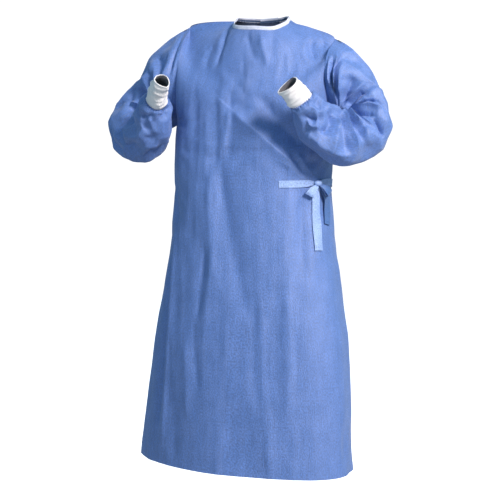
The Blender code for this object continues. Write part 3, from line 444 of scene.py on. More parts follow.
# Colours, and the sizes that their patterns need
WORLD_BLUE = (0.42, 0.74, 1.0)
BLUE = (0.078, 0.173, 0.470)
DEEP_BLUE = (0.057, 0.147, 0.422)
# Colours of the inner faces of cloth, knit and tape: far darker than their own colours, painted shade of the
# gown's hollow inside
PAINTED_SHADE_INSIDE_BLUE, PAINTED_SHADE_INSIDE_DEEP = (0.020, 0.050, 0.140), (0.016, 0.042, 0.120)
PAINTED_SHADE_INSIDE_KNIT, PAINTED_SHADE_INSIDE_TAPE = (0.12, 0.12, 0.14), (0.03, 0.06, 0.14)
TIE_BLUE = (0.260, 0.400, 0.720)
TIE_DEEP = (0.220, 0.350, 0.670)
# Dark blue of the back faces of the ties, and of the outer faces of the two ties that face away from the
# light: painted shade
PAINTED_SHADE_TIE_BLUE, PAINTED_SHADE_TIE_DEEP = (0.024, 0.120, 0.360), (0.020, 0.100, 0.320)
KNIT_WHITE = (0.86, 0.85, 0.84)
TAPE_WHITE, TAPE_SHADE = (0.64, 0.67, 0.78), (0.52, 0.56, 0.70)
THREAD_WHITE, THREAD_BLUE = (0.82, 0.84, 0.88), (0.070, 0.170, 0.480)
CLOTH_ROUGHNESS = 0.62
BOND_PITCH = 0.0026

# Sewing and small forms
BINDING_PUFF = 0.0009
TAPE_TURNED_IN = 4       # rows of the binding that are pale tape on the inside too; below them the inside is painted dark, painted shade
STITCH_PLACE = 0.62      # share of the binding's height, down from its top
STITCH_PITCH, STITCH_LENGTH, STITCH_RADIUS, STITCH_SIDES = 0.0032, 0.0024, 0.00032, 6
STITCH_PROFILE = ((-0.5, 0.35), (-0.34, 0.95), (0.0, 1.15), (0.34, 0.95), (0.5, 0.35))    # place, thickness
TIE_PLEAT, TIE_WAVE = 0.0010, 0.00035
PAINTED_SHADE_TIES = ("tail_back", "loop_right")    # ties whose outer face takes the dark tie look, painted shade where they face away from the light
# Ties: node, table, whether it is a loop, and the rows of its cross stitches
TIES = (
    ("tie_front", TIE_FRONT, False, (2,)),
    ("tie_back", TIE_BACK, False, (-3,)),
    ("tail_front", TAIL_FRONT, False, (-4,)),
    ("tail_back", TAIL_BACK, False, (-4,)),
    ("loop_left", LOOP_LEFT, True, ()),
    ("loop_right", LOOP_RIGHT, True, ()),
)


def column(table, columns, name):
    """One named column of a table, as an array in metres, or as it is where the column is a bare number."""
    values = np.array([row[columns.index(name)] for row in table.values()], float)
    return values if name in PLAIN_COLUMNS else values * MM


def smooth(places, values, at):
    """The height at each place of a smooth curve through the values, which never overshoots them."""
    places, values, at = (np.asarray(v, float) for v in (places, values, at))
    step = np.diff(places)
    slope = np.diff(values) / step
    before, after = slope[:-1], slope[1:]
    mean = (before * step[1:] + after * step[:-1]) / (step[:-1] + step[1:])
    limit = 3 * np.minimum(abs(before), abs(after))
    inner = np.where(before * after > 0, np.sign(mean) * np.minimum(abs(mean), limit), 0.0)
    tangent = np.concatenate([slope[:1], inner, slope[-1:]])
    k = np.clip(np.searchsorted(places, at, side="right") - 1, 0, len(step) - 1)
    t = (at - places[k]) / step[k]
    height = values[k] * (1 + 2 * t) * (1 - t) ** 2 + values[k + 1] * t * t * (3 - 2 * t)
    return height + step[k] * (tangent[k] * t * (1 - t) ** 2 - tangent[k + 1] * t * t * (1 - t))


def smoothstep(low, high, value):
    t = np.clip((np.asarray(value, float) - low) / (high - low), 0, 1)
    return t * t * (3 - 2 * t)


def unit(v):
    return v / np.maximum(np.linalg.norm(v, axis=-1, keepdims=True), 1e-12)


def steps_along(points, axis):
    """Distances from each point of a grid or path to the next."""
    return np.linalg.norm(np.diff(points, axis=axis), axis=-1)


def run_lengths(steps):
    """How far along each point is, when these are the steps between them."""
    return np.r_[0, np.cumsum(steps)]


def closed(grid, around=True):
    """The grid with its first column once more at its end."""
    return np.concatenate([grid, grid[:, :1]], 1) if around else grid


def grid_corners(grid):
    """The four corners of every square of a grid, anticlockwise as seen from outside."""
    return np.stack([grid[:-1, :-1], grid[1:, :-1], grid[1:, 1:], grid[:-1, 1:]], 2)


def level(name, at):
    """A column of LEVELS at these level numbers."""
    return smooth(range(len(LEVELS)), column(LEVELS, LEVEL_COLUMNS, name), at)


def flap_reach(name, rows):
    return smooth(FLAP_LEVELS, column(FLAP_REACH, FLAP_COLUMNS, name), rows)


def level_body(rows, across, side):
    """Points of the unfolded front or back, as LEVELS gives them. across is -1 at the right edge."""
    rows, across = np.broadcast_arrays(rows, across)
    right = across < 0
    if side == "front":
        bend = np.where(right, level("bend_right", rows), level("bend_left", rows))
    else:
        bend = level("bend_back", rows)
    quarter = np.clip(abs(across), 0, 1) * math.pi / 2
    reach, depth = np.sin(quarter), np.cos(quarter)
    edge_x = np.where(right, level("right_x", rows), level("left_x", rows))
    edge_z = np.where(right, level("right_z", rows), level("left_z", rows))
    edge_y = level(side + "_edge_y", rows) + np.where(right, 0.0, level("left_shift_y", rows))
    middle_x = (level("right_x", rows) + level("left_x", rows)) / 2
    x = middle_x + (edge_x - middle_x) * reach ** bend
    y = edge_y + (level(side + "_y", rows) - edge_y) * depth ** bend
    z = edge_z + (level(side + "_z", rows) - edge_z) * depth ** level("bend_z", rows)
    return np.stack([x, y, z], -1)


def plain_body(rows, across, side):
    """Points of the unfolded front or back. The corner at the shoulder's end rounds off inside the panel."""
    rows, across = np.broadcast_arrays(rows, across)
    reach = ROUND_LEVELS * np.exp(-((rows - SHOULDER_END) / ROUND_LEVELS) ** 2)
    reach = np.minimum(reach, np.maximum(rows - NECKLINE, 0)) * smoothstep(0, ROUND_SHARE, 1 - abs(across))
    steps = np.linspace(-1, 1, ROUND_SAMPLES)
    weights = 1 - 0.8 * abs(steps)
    total = sum(w * level_body(rows + reach * step, across, side) for step, w in zip(steps, weights))
    return total / weights.sum()


def body_normals(rows, across, side):
    """Outward normals of the unfolded front or back."""
    above, below = np.clip(rows - SLOPE_STEP, NECKLINE, HEM), np.clip(rows + SLOPE_STEP, NECKLINE, HEM)
    before, after = np.clip(across - SLOPE_STEP, -1, 1), np.clip(across + SLOPE_STEP, -1, 1)
    down = plain_body(below, across, side) - plain_body(above, across, side)
    left = plain_body(rows, after, side) - plain_body(rows, before, side)
    return unit(np.cross(down, left)) * (1 if side == "front" else -1)


def column_values(table, columns, rows):
    """Every named column of a table of stations, read at these row numbers."""
    return {name: smooth(range(len(table)), column(table, columns, name), rows) for name in columns}


def crease_height(u, v, creases, gain, unit_u=MM, unit_v=MM):
    """Height of all creases at these places. unit_u and unit_v turn a table's places into metres."""
    total = np.zeros(np.broadcast(u, v).shape)
    for row in creases.values():
        start_u, start_v, end_u, end_v, bow, left, right, start_height, end_height, crisp = row
        start_u, end_u = start_u * unit_u, end_u * unit_u
        start_v, end_v = start_v * unit_v, end_v * unit_v
        way_u, way_v = end_u - start_u, end_v - start_v
        length = math.hypot(way_u, way_v)
        raw = ((u - start_u) * way_u + (v - start_v) * way_v) / length ** 2
        share = np.clip(raw, 0, 1)
        aside = ((u - start_u) * way_v - (v - start_v) * way_u) / length - bow * MM * 4 * share * (1 - share)
        stray = np.sin(raw * length / CREASE_WAVE + start_u * 97) * np.sin(raw * 7 + end_v * 41)
        aside = aside + CREASE_WANDER * stray
        apart = np.hypot(aside, (raw - share) * length)
        round_apart = np.hypot(apart, CREASE_TIP) - CREASE_TIP
        taper = 1 - CREASE_TAPER * abs(share - CREASE_WIDEST)
        width = np.where(aside > 0, left, right) * MM * CREASE_NARROW * taper
        height = (start_height + (end_height - start_height) * share) * MM
        height = height * smoothstep(0, CREASE_FADE, 1 - share)
        height = height * (CREASE_START + (1 - CREASE_START) * smoothstep(0, CREASE_RISE, share))
        total = total + height * np.exp(-(round_apart / width) ** (crisp * CREASE_CRISP))
    return total * gain


def noise_places(u, v, across, along, seed, period):
    """Places in a noise whose lumps have this size. With a period, u joins up with itself after it."""
    if not period:
        return zip(u / across, v / along, np.full(u.shape, seed))
    turn = 2 * math.pi / period
    radius = period / (2 * math.pi * across)
    return zip(np.cos(u * turn) * radius, np.sin(u * turn) * radius + seed, v / along + seed)


def lump_height(u, v, lumps, period=0.0):
    """Smooth small unevenness at these places."""
    shape = np.broadcast(u, v).shape
    u, v = (a.ravel() for a in np.broadcast_arrays(u, v))
    total = np.zeros(u.shape)
    for across, along, height, seed in lumps.values():
        places = noise_places(u, v, across, along, seed, period)
        total += height * np.array([noise.noise(Vector(place)) for place in places])
    return total.reshape(shape)


def facet_height(u, v, at, facets, period=0.0):
    """Crisp ridges between shallow hollows, as in paper that was crushed and smoothed out again."""
    shape = np.broadcast(u, v).shape
    u, v, at = (a.ravel() for a in np.broadcast_arrays(u, v, at))
    total = np.zeros(u.shape)
    for across, along, height, seed, start, end in facets.values():
        places = noise_places(u, v, across, along, seed, period)
        nearest = np.array([noise.voronoi(Vector(place))[0][0] for place in places])
        share = smoothstep(start - FACET_FADE, start + FACET_FADE, at)
        share = share * (1 - smoothstep(end - FACET_FADE, end + FACET_FADE, at))
        total += height * (nearest ** 2 - FACET_MEAN) * share
    return total.reshape(shape)


def grid_normals(points, around=False):
    """Outward normals of a grid whose columns run to the right and whose rows run down, seen from outside."""
    if around:
        padded = np.concatenate([points[:, -1:], points, points[:, :1]], 1)
        across = padded[:, 2:] - padded[:, :-2]
    else:
        across = np.gradient(points, axis=1)
    return unit(np.cross(np.gradient(points, axis=0), across))


def tube_normals(rings):
    """Outward normals of rings that go round the front of the wearer's left or right sleeve."""
    return grid_normals(rings, around=True) * (-1 if rings[0, 0, 0] > 0 else 1)


def body_levels():
    """The level number of each row of a body panel."""
    return np.concatenate([
        np.linspace(NECKLINE, SHOULDER_END, SHOULDER_ROWS, endpoint=False),
        np.linspace(SHOULDER_END, UNDERARM, ARMHOLE_ROWS, endpoint=False),
        np.linspace(UNDERARM, HEM, SKIRT_ROWS + 1),
    ])


def body_surface(rows, across, side, out=0.0):
    """Points of the creased front or back, settled where it has been, and moved out by a distance."""
    rows, across = np.broadcast_arrays(rows, across)
    points = plain_body(rows, across, side)
    middle, width, drop = NECK_SAG[side]
    sag = drop * np.exp(-((across - middle) / width) ** 2) * (1 - smoothstep(0, SAG_LEVELS, rows))
    points = points - sag[..., None] * np.array([0, 0, 1.0])
    creases = FRONT_CREASES if side == "front" else BACK_CREASES
    x, z = points[..., 0], points[..., 2]
    height = crease_height(x, z, creases, BODY_GAIN) + lump_height(x, z, BODY_LUMPS)
    height = height + facet_height(x, z, rows, BODY_FACETS)
    calm = smoothstep(0, EDGE_CALM, 1 - abs(across))
    points = points + (height * calm + out)[..., None] * body_normals(rows, across, side)
    if side in settled_ways:
        points = points + way_at(settled_ways[side], rows, across)
    return points


def way_at(ways, rows, across):
    """How far the settled cloth has moved at these places of the front or back."""
    levels = body_levels()
    row = np.interp(rows, levels, np.arange(len(levels)))
    place = (across + 1) / 2 * FRONT_COLUMNS
    r = np.clip(row.astype(int), 0, len(levels) - 2)
    c = np.clip(place.astype(int), 0, FRONT_COLUMNS - 1)
    down, aside = (row - r)[..., None], (place - c)[..., None]
    upper = ways[r, c] * (1 - aside) + ways[r, c + 1] * aside
    lower = ways[r + 1, c] * (1 - aside) + ways[r + 1, c + 1] * aside
    return upper * (1 - down) + lower * down


def settle_body(side):
    """Lets the whole front or back find its own folds between its seams."""
    rows, across = body_levels()[:, None], np.linspace(-1, 1, FRONT_COLUMNS + 1)
    grid = body_surface(rows, across, side)
    free = smoothstep(0, EDGE_CALM, 1 - abs(across)) * smoothstep(0, 0.4, rows)
    settled_ways[side] = settle(grid, 1 - (1 - BODY_HOLD) * free, BODY_SPARE + 0 * free) - grid


def body_grids():
    """The grids of the front, the outer back flap and the inner one. Their seam edges are the same points."""
    rows = body_levels()[:, None]
    settle_body("front")
    settle_body("back")
    front = body_surface(rows, np.linspace(-1, 1, FRONT_COLUMNS + 1), "front")
    share = np.linspace(0, 1, OUTER_FLAP_COLUMNS + 1)
    outer_end = flap_reach("outer_edge", rows)
    outer = body_surface(rows, outer_end + (-1 - outer_end) * share, "back")
    share = np.linspace(0, 1, INNER_FLAP_COLUMNS + 1)
    across = 1 + (flap_reach("inner_edge", rows) - 1) * share
    tuck = FLAP_GAP * (1 - smoothstep(outer_end + TUCK_FROM, outer_end + TUCK_TO, across))
    return front, outer, body_surface(rows, across, "back", -tuck)


def tube_rings(table, count, rings):
    """Rings round a bent tube. Each starts at the tube's outer side and goes round its front."""
    value = column_values(table, SLEEVE_COLUMNS, np.linspace(0, len(table) - 1, rings + 1))
    outer = np.stack([value["outer_" + axis] for axis in "xyz"], -1)
    inner = np.stack([value["inner_" + axis] for axis in "xyz"], -1)
    centre, half = (outer + inner) / 2, (outer - inner) / 2
    along_outer, along_inner = unit(np.gradient(outer, axis=0)), unit(np.gradient(inner, axis=0))
    along = along_outer * (1 - INNER_PULL) + along_inner * INNER_PULL
    to_front = -1.0 if centre[0, 0] > 0 else 1.0
    side = to_front * unit(np.cross(half, along)) * value["thickness"][:, None] / 2
    angle = np.arange(count)[None, :, None] * 2 * math.pi / count
    narrow = 1 - value["pinch"][:, None, None] * ((1 - np.cos(angle)) / 2) ** PINCH_POWER
    return centre[:, None] + np.cos(angle) * half[:, None] + np.sin(angle) * narrow * side[:, None]


def spread(count, step, around):
    """Weights that carry values at every step-th place over to all places, along smooth curves."""
    coarse = count // step + (0 if around else 1)
    weights = np.zeros((count + (0 if around else 1), coarse))
    for place in range(len(weights)):
        first, t = divmod(place, step)
        t /= step
        near = (t * (-0.5 + t - 0.5 * t * t), 1 - 2.5 * t * t + 1.5 * t ** 3,
                t * (0.5 + 2 * t - 1.5 * t * t), t * t * (0.5 * t - 0.5))
        for offset, weight in zip((-1, 0, 1, 2), near):
            k = first + offset
            weights[place, k % coarse if around else min(max(k, 0), coarse - 1)] += weight
    return weights


def settle(grid, hold, spare, around=False):
    """Lets cloth find its own folds, on a coarse net of its points. hold says how firmly each point keeps its
    place, and spare how much of MOST_SPARE the cloth is cut too large there."""
    net = grid[::SETTLE_STEP, ::SETTLE_STEP]
    rows, columns = net.shape[:2]
    quads = grid_corners(closed(np.arange(rows * columns).reshape(rows, columns), around))
    mesh = bpy.data.meshes.new("settling")
    mesh.from_pydata(net.reshape(-1, 3).tolist(), [], quads.reshape(-1, 4).tolist())
    piece = bpy.data.objects.new("settling", mesh)
    scene = bpy.context.scene
    scene.collection.objects.link(piece)
    for name, weights in (("hold", hold), ("spare", 1 - spare)):
        group = piece.vertex_groups.new(name=name)
        weights = np.broadcast_to(weights, grid.shape[:2])[::SETTLE_STEP, ::SETTLE_STEP]
        for corner, weight in enumerate(weights.ravel().tolist()):
            group.add([corner], weight, "REPLACE")
    cloth = piece.modifiers.new("settle", "CLOTH")
    cloth.settings.vertex_group_mass = "hold"
    cloth.settings.vertex_group_shrink = "spare"
    cloth.settings.shrink_min, cloth.settings.shrink_max = -MOST_SPARE, 0.0
    for setting, value in CLOTH_SETTINGS.items():
        setattr(cloth.settings, setting, value)
    cloth.settings.effector_weights.gravity = 0.0
    cloth.collision_settings.use_collision = False
    for frame_number in range(1, SETTLE_FRAMES + 1):
        scene.frame_set(frame_number)
    settled = piece.evaluated_get(bpy.context.evaluated_depsgraph_get()).data
    points = np.empty(rows * columns * 3)
    settled.vertices.foreach_get("co", points)
    bpy.data.objects.remove(piece)
    scene.frame_set(1)
    way = points.reshape(net.shape) - net
    far = np.linalg.norm(way, axis=-1, keepdims=True)
    way = way * np.minimum(1, MOST_MOVE / np.maximum(far, 1e-9))
    down = spread(grid.shape[0] - 1, SETTLE_STEP, False)
    across = spread(grid.shape[1] - (0 if around else 1), SETTLE_STEP, around)
    return grid + np.einsum("ri,ijk,cj->rck", down, way, across)


def sleeve_grid(table, creases, gain, armhole):
    """The rings of a sleeve, the first of which is the armhole."""
    count = armhole.shape[0]
    rings = tube_rings(table, count, SLEEVE_RINGS)
    last = len(table) - 1
    at = np.linspace(0, last, SLEEVE_RINGS + 1)[:, None]
    round_share = smoothstep(0.0, ARMHOLE_BLEND, at)[..., None]
    centre = rings.mean(1, keepdims=True)
    rings = (armhole[None] + centre - centre[0]) * (1 - round_share) + rings * round_share
    angle = np.arange(count)[None] * 360 / count
    degree = math.radians(1) * ARM_RADIUS
    turn = 360 * degree
    u, v = angle * degree, at * STATION_STEP
    height = crease_height(u, v, creases, gain, degree, STATION_STEP)
    height = height + crease_height(u - turn, v, creases, gain, degree, STATION_STEP)
    height = height + lump_height(u, v, ARM_LUMPS, turn) + facet_height(u, v, at, ARM_FACETS, turn)
    height = height * smoothstep(0, 0.6, at) * smoothstep(0, 1, last - at)
    height = height * smoothstep(*CROOK_CALM, abs(angle - 180))
    wander = 0.6 * np.sin(np.radians(angle) * 7 + 1.0) + 0.5 * np.sin(np.radians(angle) * 4)
    pucker = np.cos(np.radians(angle) * GATHERS + wander)
    height = height + GATHER_HEIGHT * pucker * smoothstep(GATHER_FADE, 0, last - at)
    rings = rings + height[..., None] * tube_normals(rings)
    ends = np.minimum(smoothstep(0, 0.5, at), smoothstep(0, 0.3, last - at))
    inner = (1 - np.cos(np.radians(angle))) / 2
    hold = 1 - (1 - SLEEVE_HOLD) * ends + 0 * angle
    least, most = SLEEVE_SPARE
    spare = (least + (most - least) * inner) * smoothstep(0.2, 3, at)
    return settle(rings, hold, spare, around=True)


def cuff_grid(table, rolls):
    """The rings of a ribbed knit cuff."""
    rings = tube_rings(table, CUFF_COLUMNS, CUFF_RINGS)
    angle = np.linspace(0, 2 * math.pi, CUFF_COLUMNS, endpoint=False)[None]
    share = np.linspace(0, 1, CUFF_RINGS + 1)[:, None]
    height = RIB_HEIGHT * np.cos(angle * CUFF_RIBS) * np.ones(share.shape)
    for place, roll, wander in rolls:
        line = place + wander * np.sin(angle * 2 + place * 9)
        height = height + roll * np.exp(-((share - line) / ROLL_WIDTH) ** 2)
    wide, long = angle * CUFF_RADIUS, share * CUFF_LENGTH
    height = height + facet_height(wide, long, share, CUFF_FACETS, 2 * math.pi * CUFF_RADIUS)
    return rings + height[..., None] * tube_normals(rings)


def shell(name, outer, normals, wall, looks, around=False, turned_in=0):
    """A closed thin shell of cloth with its sizes across and down as texture coordinates in metres."""
    rows, columns = outer.shape[:2]
    inner = outer - wall * normals
    inside = rows * columns
    index = closed(np.arange(inside).reshape(rows, columns), around)
    outside = grid_corners(index)
    quads = [outside, outside[..., ::-1] + inside]
    rims = [(index[0, :-1], index[0, 1:]), (index[-1, 1:], index[-1, :-1])]
    if not around:
        rims += [(index[1:, 0], index[:-1, 0]), (index[:-1, -1], index[1:, -1])]
    quads += [np.stack([start, end, end + inside, start + inside], -1) for start, end in rims]
    faces = np.concatenate([q.reshape(-1, 4) for q in quads])
    points = np.concatenate([outer.reshape(-1, 3), inner.reshape(-1, 3)])
    made = mesh_object(name, points, faces, looks[0])
    made.data.materials.append(looks[1])
    # The inner faces, past the first turned_in rows, take the second look: for the gown's cloth, knit and tape
    # that is a far darker one, painted shade of the hollow inside
    side = np.zeros(len(faces), np.int32)
    one_side = outside.shape[0] * outside.shape[1]
    side[one_side + turned_in * outside.shape[1]:2 * one_side] = 1
    made.data.polygons.foreach_set("material_index", side)
    across, down = cloth_sizes(outer, around)
    wide = np.stack([across, down], -1)
    if around:
        wide = np.concatenate([wide, wide[:, :1] + [(across[:, -1:] / (columns - 1) * columns).mean(), 0]], 1)
    corner = grid_corners(wide).reshape(-1, 4, 2)
    rim_count = len(faces) - 2 * len(corner)
    places = np.concatenate([corner, corner[:, ::-1], np.zeros((rim_count, 4, 2))])
    layer = made.data.uv_layers.new(name=CLOTH_MAP)
    layer.uv.foreach_set("vector", places.astype(np.float32).ravel())
    return made


def cloth_sizes(grid, around):
    """Metres across and down the cloth at every point of a grid, as the mean of its rows and columns."""
    across = run_lengths(steps_along(grid, 1).mean(0))
    down = run_lengths(steps_along(grid, 0).mean(1))
    return np.broadcast_arrays(across, down[:, None])


def mesh_object(name, points, faces, look):
    mesh = bpy.data.meshes.new(name)
    mesh.from_pydata(points.tolist(), [], faces.tolist() if hasattr(faces, "tolist") else faces)
    mesh.materials.append(look)
    mesh.shade_smooth()
    mesh.set_sharp_from_angle(angle=math.radians(SHARP_EDGE))
    made = bpy.data.objects.new(name, mesh)
    bpy.context.scene.collection.objects.link(made)
    return made


def dress(piece, node):
    """Lets a piece stand for its solid: it hangs under the root, and the solid is hidden."""
    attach(piece, "root")
    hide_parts(node)


def neck_band(neckline):
    """A folded band that stands on the neckline: its outer face, rounded over the top."""
    slope = unit(neckline[0] - neckline[1])
    rise = unit(BINDING_LEAN * slope + (1 - BINDING_LEAN) * np.array([0, 0, 1.0]))
    heights = np.linspace(BINDING_HEIGHT, SEAM_GAP, BINDING_ROWS + 1)[:, None, None]
    band = neckline[0][None] + heights * rise[None]
    share = np.linspace(0, 1, BINDING_ROWS + 1)[:, None]
    along = np.linspace(0, 1, band.shape[1])[None]
    puff = BINDING_PUFF * (np.sin(math.pi * share) - 0.6 * np.exp(-((share - STITCH_PLACE) / 0.10) ** 2))
    puff = puff + 0.0003 * np.sin(along * 260) * np.sin(math.pi * share) * np.sin(along * 31 + 1)
    return band + puff[..., None] * grid_normals(band)


def by_knot(left, down, out):
    """Points near the bow, by metres to the wearer's left of the knot, down from it and out from the cloth."""
    turn = KNOT_TURN + left / TURN_METRES
    rows = KNOT_LEVEL + down / LEVEL_METRES
    ahead = body_surface(rows, np.clip(turn, -1, 1), "front", out)
    behind = body_surface(rows, np.clip(2 - turn, -1, 1), "back", out)
    return np.where((turn <= 1)[..., None], ahead, behind)


def tie_grid(table, is_loop):
    """A flat tie along the rows of a table. A loop runs out and back along one straight way."""
    places = np.array(list(table.values())) * MM
    length = run_lengths(steps_along(places[:, :3], 0))
    at = np.linspace(0, length[-1], max(TIE_PARTS, math.ceil(length[-1] / TIE_STEP)) + 1)
    left, down, out, width = (smooth(length, column(table, TIE_COLUMNS, name), at) for name in TIE_COLUMNS)
    way = unit(np.gradient(np.stack([left, down], -1), axis=0))
    if is_loop:
        way = np.broadcast_to(unit(places[len(places) // 2, :2] - places[0, :2]), way.shape)
    half = np.linspace(-0.5, 0.5, TIE_STRANDS)[None]
    pinch = 1 - width[:, None] / width.max()
    fold = TIE_PLEAT * pinch * np.cos(half * 5 * math.pi)
    wave = TIE_WAVE * np.sin(at[:, None] * 60 + half * 2)
    return by_knot(left[:, None] + way[:, 1:] * width[:, None] * half,
                   down[:, None] - way[:, :1] * width[:, None] * half, out[:, None] + fold + wave)


def knot_ball():
    """The tight knot of the bow, a flattened ball of pleated cloth."""
    tilt = np.linspace(0, math.pi, KNOT_RINGS + 1)[:, None]
    turn = np.arange(KNOT_SIDES)[None] * 2 * math.pi / KNOT_SIDES
    swell = 0.06 * np.sin(turn * 2 + 0.6) * np.sin(tilt)
    flat = 1 + swell + 0.045 * np.cos(turn * 9 + tilt * 2) * np.sin(tilt) ** 2
    directions = np.stack([np.sin(tilt) * np.cos(turn) * flat, np.sin(tilt) * np.sin(turn) * flat,
                           np.cos(tilt) * np.ones(turn.shape)], -1)
    left, down, out = np.moveaxis(directions * KNOT_HALF, -1, 0)
    grid = by_knot(left, down, KNOT_OUT + out)
    index = np.arange(grid[..., 0].size).reshape(grid.shape[:2])
    index[0], index[-1] = index[0, 0], index[-1, 0]
    quads = grid_corners(closed(index))[..., [0, 3, 2, 1]].reshape(-1, 4)
    faces = [list(dict.fromkeys(quad)) for quad in quads.tolist()]
    used = sorted({corner for face in faces for corner in face})
    new = {old: place for place, old in enumerate(used)}
    faces = [[new[corner] for corner in face] for face in faces]
    return grid.reshape(-1, 3)[used], faces


def stitches(name, path, normals, look):
    """A row of small thread stitches along a path on the cloth, joined into one mesh."""
    length = run_lengths(steps_along(path, 0))
    count = int(length[-1] / STITCH_PITCH)
    last_ring = len(STITCH_PROFILE) - 1
    points, faces = [], []
    turn = np.arange(STITCH_SIDES) * 2 * math.pi / STITCH_SIDES
    for place in range(count):
        middle = (place + 0.5) * STITCH_PITCH
        for step, scale in STITCH_PROFILE:
            at = middle + step * STITCH_LENGTH
            centre = np.array([np.interp(at, length, path[:, k]) for k in range(3)])
            out = unit(np.array([np.interp(at, length, normals[:, k]) for k in range(3)]))
            way = unit(np.array([np.interp(at + 1e-4, length, path[:, k]) for k in range(3)]) - centre)
            aside = np.cross(out, way)
            lift = STITCH_RADIUS * (0.9 - 1.6 * abs(step))
            ring = np.cos(turn)[:, None] * aside + np.sin(turn)[:, None] * out
            points.append(centre + lift * out + ring * STITCH_RADIUS * scale)
        start = place * (last_ring + 1) * STITCH_SIDES
        for ring in range(last_ring):
            for side in range(STITCH_SIDES):
                low, after = start + ring * STITCH_SIDES, (side + 1) % STITCH_SIDES
                faces.append((low + side, low + after, low + STITCH_SIDES + after, low + STITCH_SIDES + side))
        faces.append(tuple(start + side for side in reversed(range(STITCH_SIDES))))
        faces.append(tuple(start + last_ring * STITCH_SIDES + side for side in range(STITCH_SIDES)))
    made = mesh_object(name, np.concatenate(points), faces, look)
    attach(made, "root")


class Nodes:
    """Short calls for building the nodes of a material or world."""

    def __init__(self, owner, shader="Principled BSDF"):
        self.owner = owner
        self.owner.use_nodes = True
        self.tree = self.owner.node_tree
        self.shader = self.tree.nodes[shader]

    def shader_of(self, values):
        """Sets the shader's sockets, and hands back the finished material or world."""
        for socket, value in values.items():
            self.set(self.shader.inputs[socket], value)
        return self.owner

    def add(self, kind, inputs=None, **settings):
        node = self.tree.nodes.new("ShaderNode" + kind)
        for setting, value in settings.items():
            setattr(node, setting, value)
        for socket, value in (inputs or {}).items():
            self.set(node.inputs[socket], value)
        return node

    def set(self, socket, value):
        if isinstance(value, bpy.types.NodeSocket):
            self.tree.links.new(value, socket)
        else:
            socket.default_value = value

    def cloth_place(self, across, down):
        """Places on the cloth, in lumps of these sizes in metres."""
        place = self.add("UVMap", uv_map=CLOTH_MAP).outputs[0]
        inputs = {0: place, 1: (1 / across, 1 / down, 1)}
        return self.add("VectorMath", inputs, operation="MULTIPLY").outputs[0]

    def noise(self, place, detail=2.0):
        made = self.add("TexNoise", {"Vector": place, "Scale": 1.0, "Detail": detail}, noise_dimensions="2D")
        return made.outputs["Fac"]

    def math(self, operation, a, b=0.0):
        return self.add("Math", {0: a, 1: b}, operation=operation).outputs[0]

    def ranged(self, value, low, high, start=0.3, end=0.7):
        spread = {"Value": value, "From Min": start, "From Max": end, "To Min": low, "To Max": high}
        return self.add("MapRange", spread).outputs[0]

    def blend(self, factor, first, second):
        inputs = {"Factor": factor, "A": (*first, 1), "B": (*second, 1)}
        return self.add("Mix", inputs, data_type="RGBA").outputs["Result"]

    def shaded(self, colour, factor):
        """The colour made lighter or darker by a factor."""
        return self.add("VectorMath", {0: colour, "Scale": factor}, operation="SCALE").outputs[0]

    def bump(self, height, distance, strength, after=None):
        inputs = {"Height": height, "Distance": distance, "Strength": strength}
        if after is not None:
            inputs["Normal"] = after
        return self.add("Bump", inputs).outputs[0]

    def waves(self, place, axis, turns=1.0):
        """A sine wave along one axis of the place, from -1 to 1."""
        part = self.add("SeparateXYZ", {0: place}).outputs[axis]
        return self.math("SINE", self.math("MULTIPLY", part, 2 * math.pi * turns))


def cloth_look(name, colour, deep):
    """Bonded polypropylene: rows of small bond points, fibre streaks down the cloth and a cloudy thickness."""
    n = Nodes(bpy.data.materials.new(name))
    streaks = n.noise(n.cloth_place(0.0045, 0.070), 3.0)
    clouds = n.noise(n.cloth_place(0.030, 0.045), 3.0)
    specks = n.noise(n.cloth_place(0.0028, 0.0050), 3.0)
    mixed = n.blend(n.ranged(clouds, 0.0, 1.0), deep, colour)
    shade = n.math("MULTIPLY", n.ranged(streaks, 0.93, 1.07), n.ranged(specks, 0.74, 1.26))
    place = n.cloth_place(BOND_PITCH, BOND_PITCH)
    bonds = n.math("MULTIPLY", n.waves(place, 0), n.waves(place, 1))
    dots = n.ranged(n.math("ABSOLUTE", bonds), 1.0, 0.0, 0.45, 0.85)
    bonded = n.bump(dots, 0.0003, 0.6, n.bump(specks, 0.0010, 0.75))
    return n.shader_of({
        "Base Color": n.shaded(mixed, shade),
        "Roughness": n.ranged(specks, CLOTH_ROUGHNESS - 0.06, CLOTH_ROUGHNESS + 0.06),
        "Normal": n.bump(streaks, 0.0008, 0.5, bonded),
        "Sheen Weight": 0.25, "Sheen Roughness": 0.45, "Sheen Tint": (0.80, 0.86, 1.0, 1),
        "Specular IOR Level": 1.0, "IOR": 1.6,
    })


def knit_look(name, colour):
    """White rib knit: soft ribs along the cuff and small stitches across them."""
    n = Nodes(bpy.data.materials.new(name))
    rows = n.waves(n.cloth_place(0.0020, 0.0017), 1)
    wales = n.waves(n.cloth_place(0.0020, 0.0017), 0)
    loops = n.math("ADD", n.math("MULTIPLY", rows, 0.5), n.math("MULTIPLY", wales, 0.5))
    fuzz = n.noise(n.cloth_place(0.0016, 0.0016), 3.0)
    clouds = n.noise(n.cloth_place(0.020, 0.020))
    shade = n.math("MULTIPLY", n.ranged(loops, 0.93, 1.02, -1.0, 1.0), n.ranged(clouds, 0.96, 1.0))
    return n.shader_of({
        "Base Color": n.shaded(colour, shade),
        "Roughness": n.ranged(fuzz, 0.82, 0.98),
        "Normal": n.bump(fuzz, 0.0004, 0.5, n.bump(loops, 0.0005, 0.7)),
        "Sheen Weight": 0.35, "Sheen Roughness": 0.5,
    })


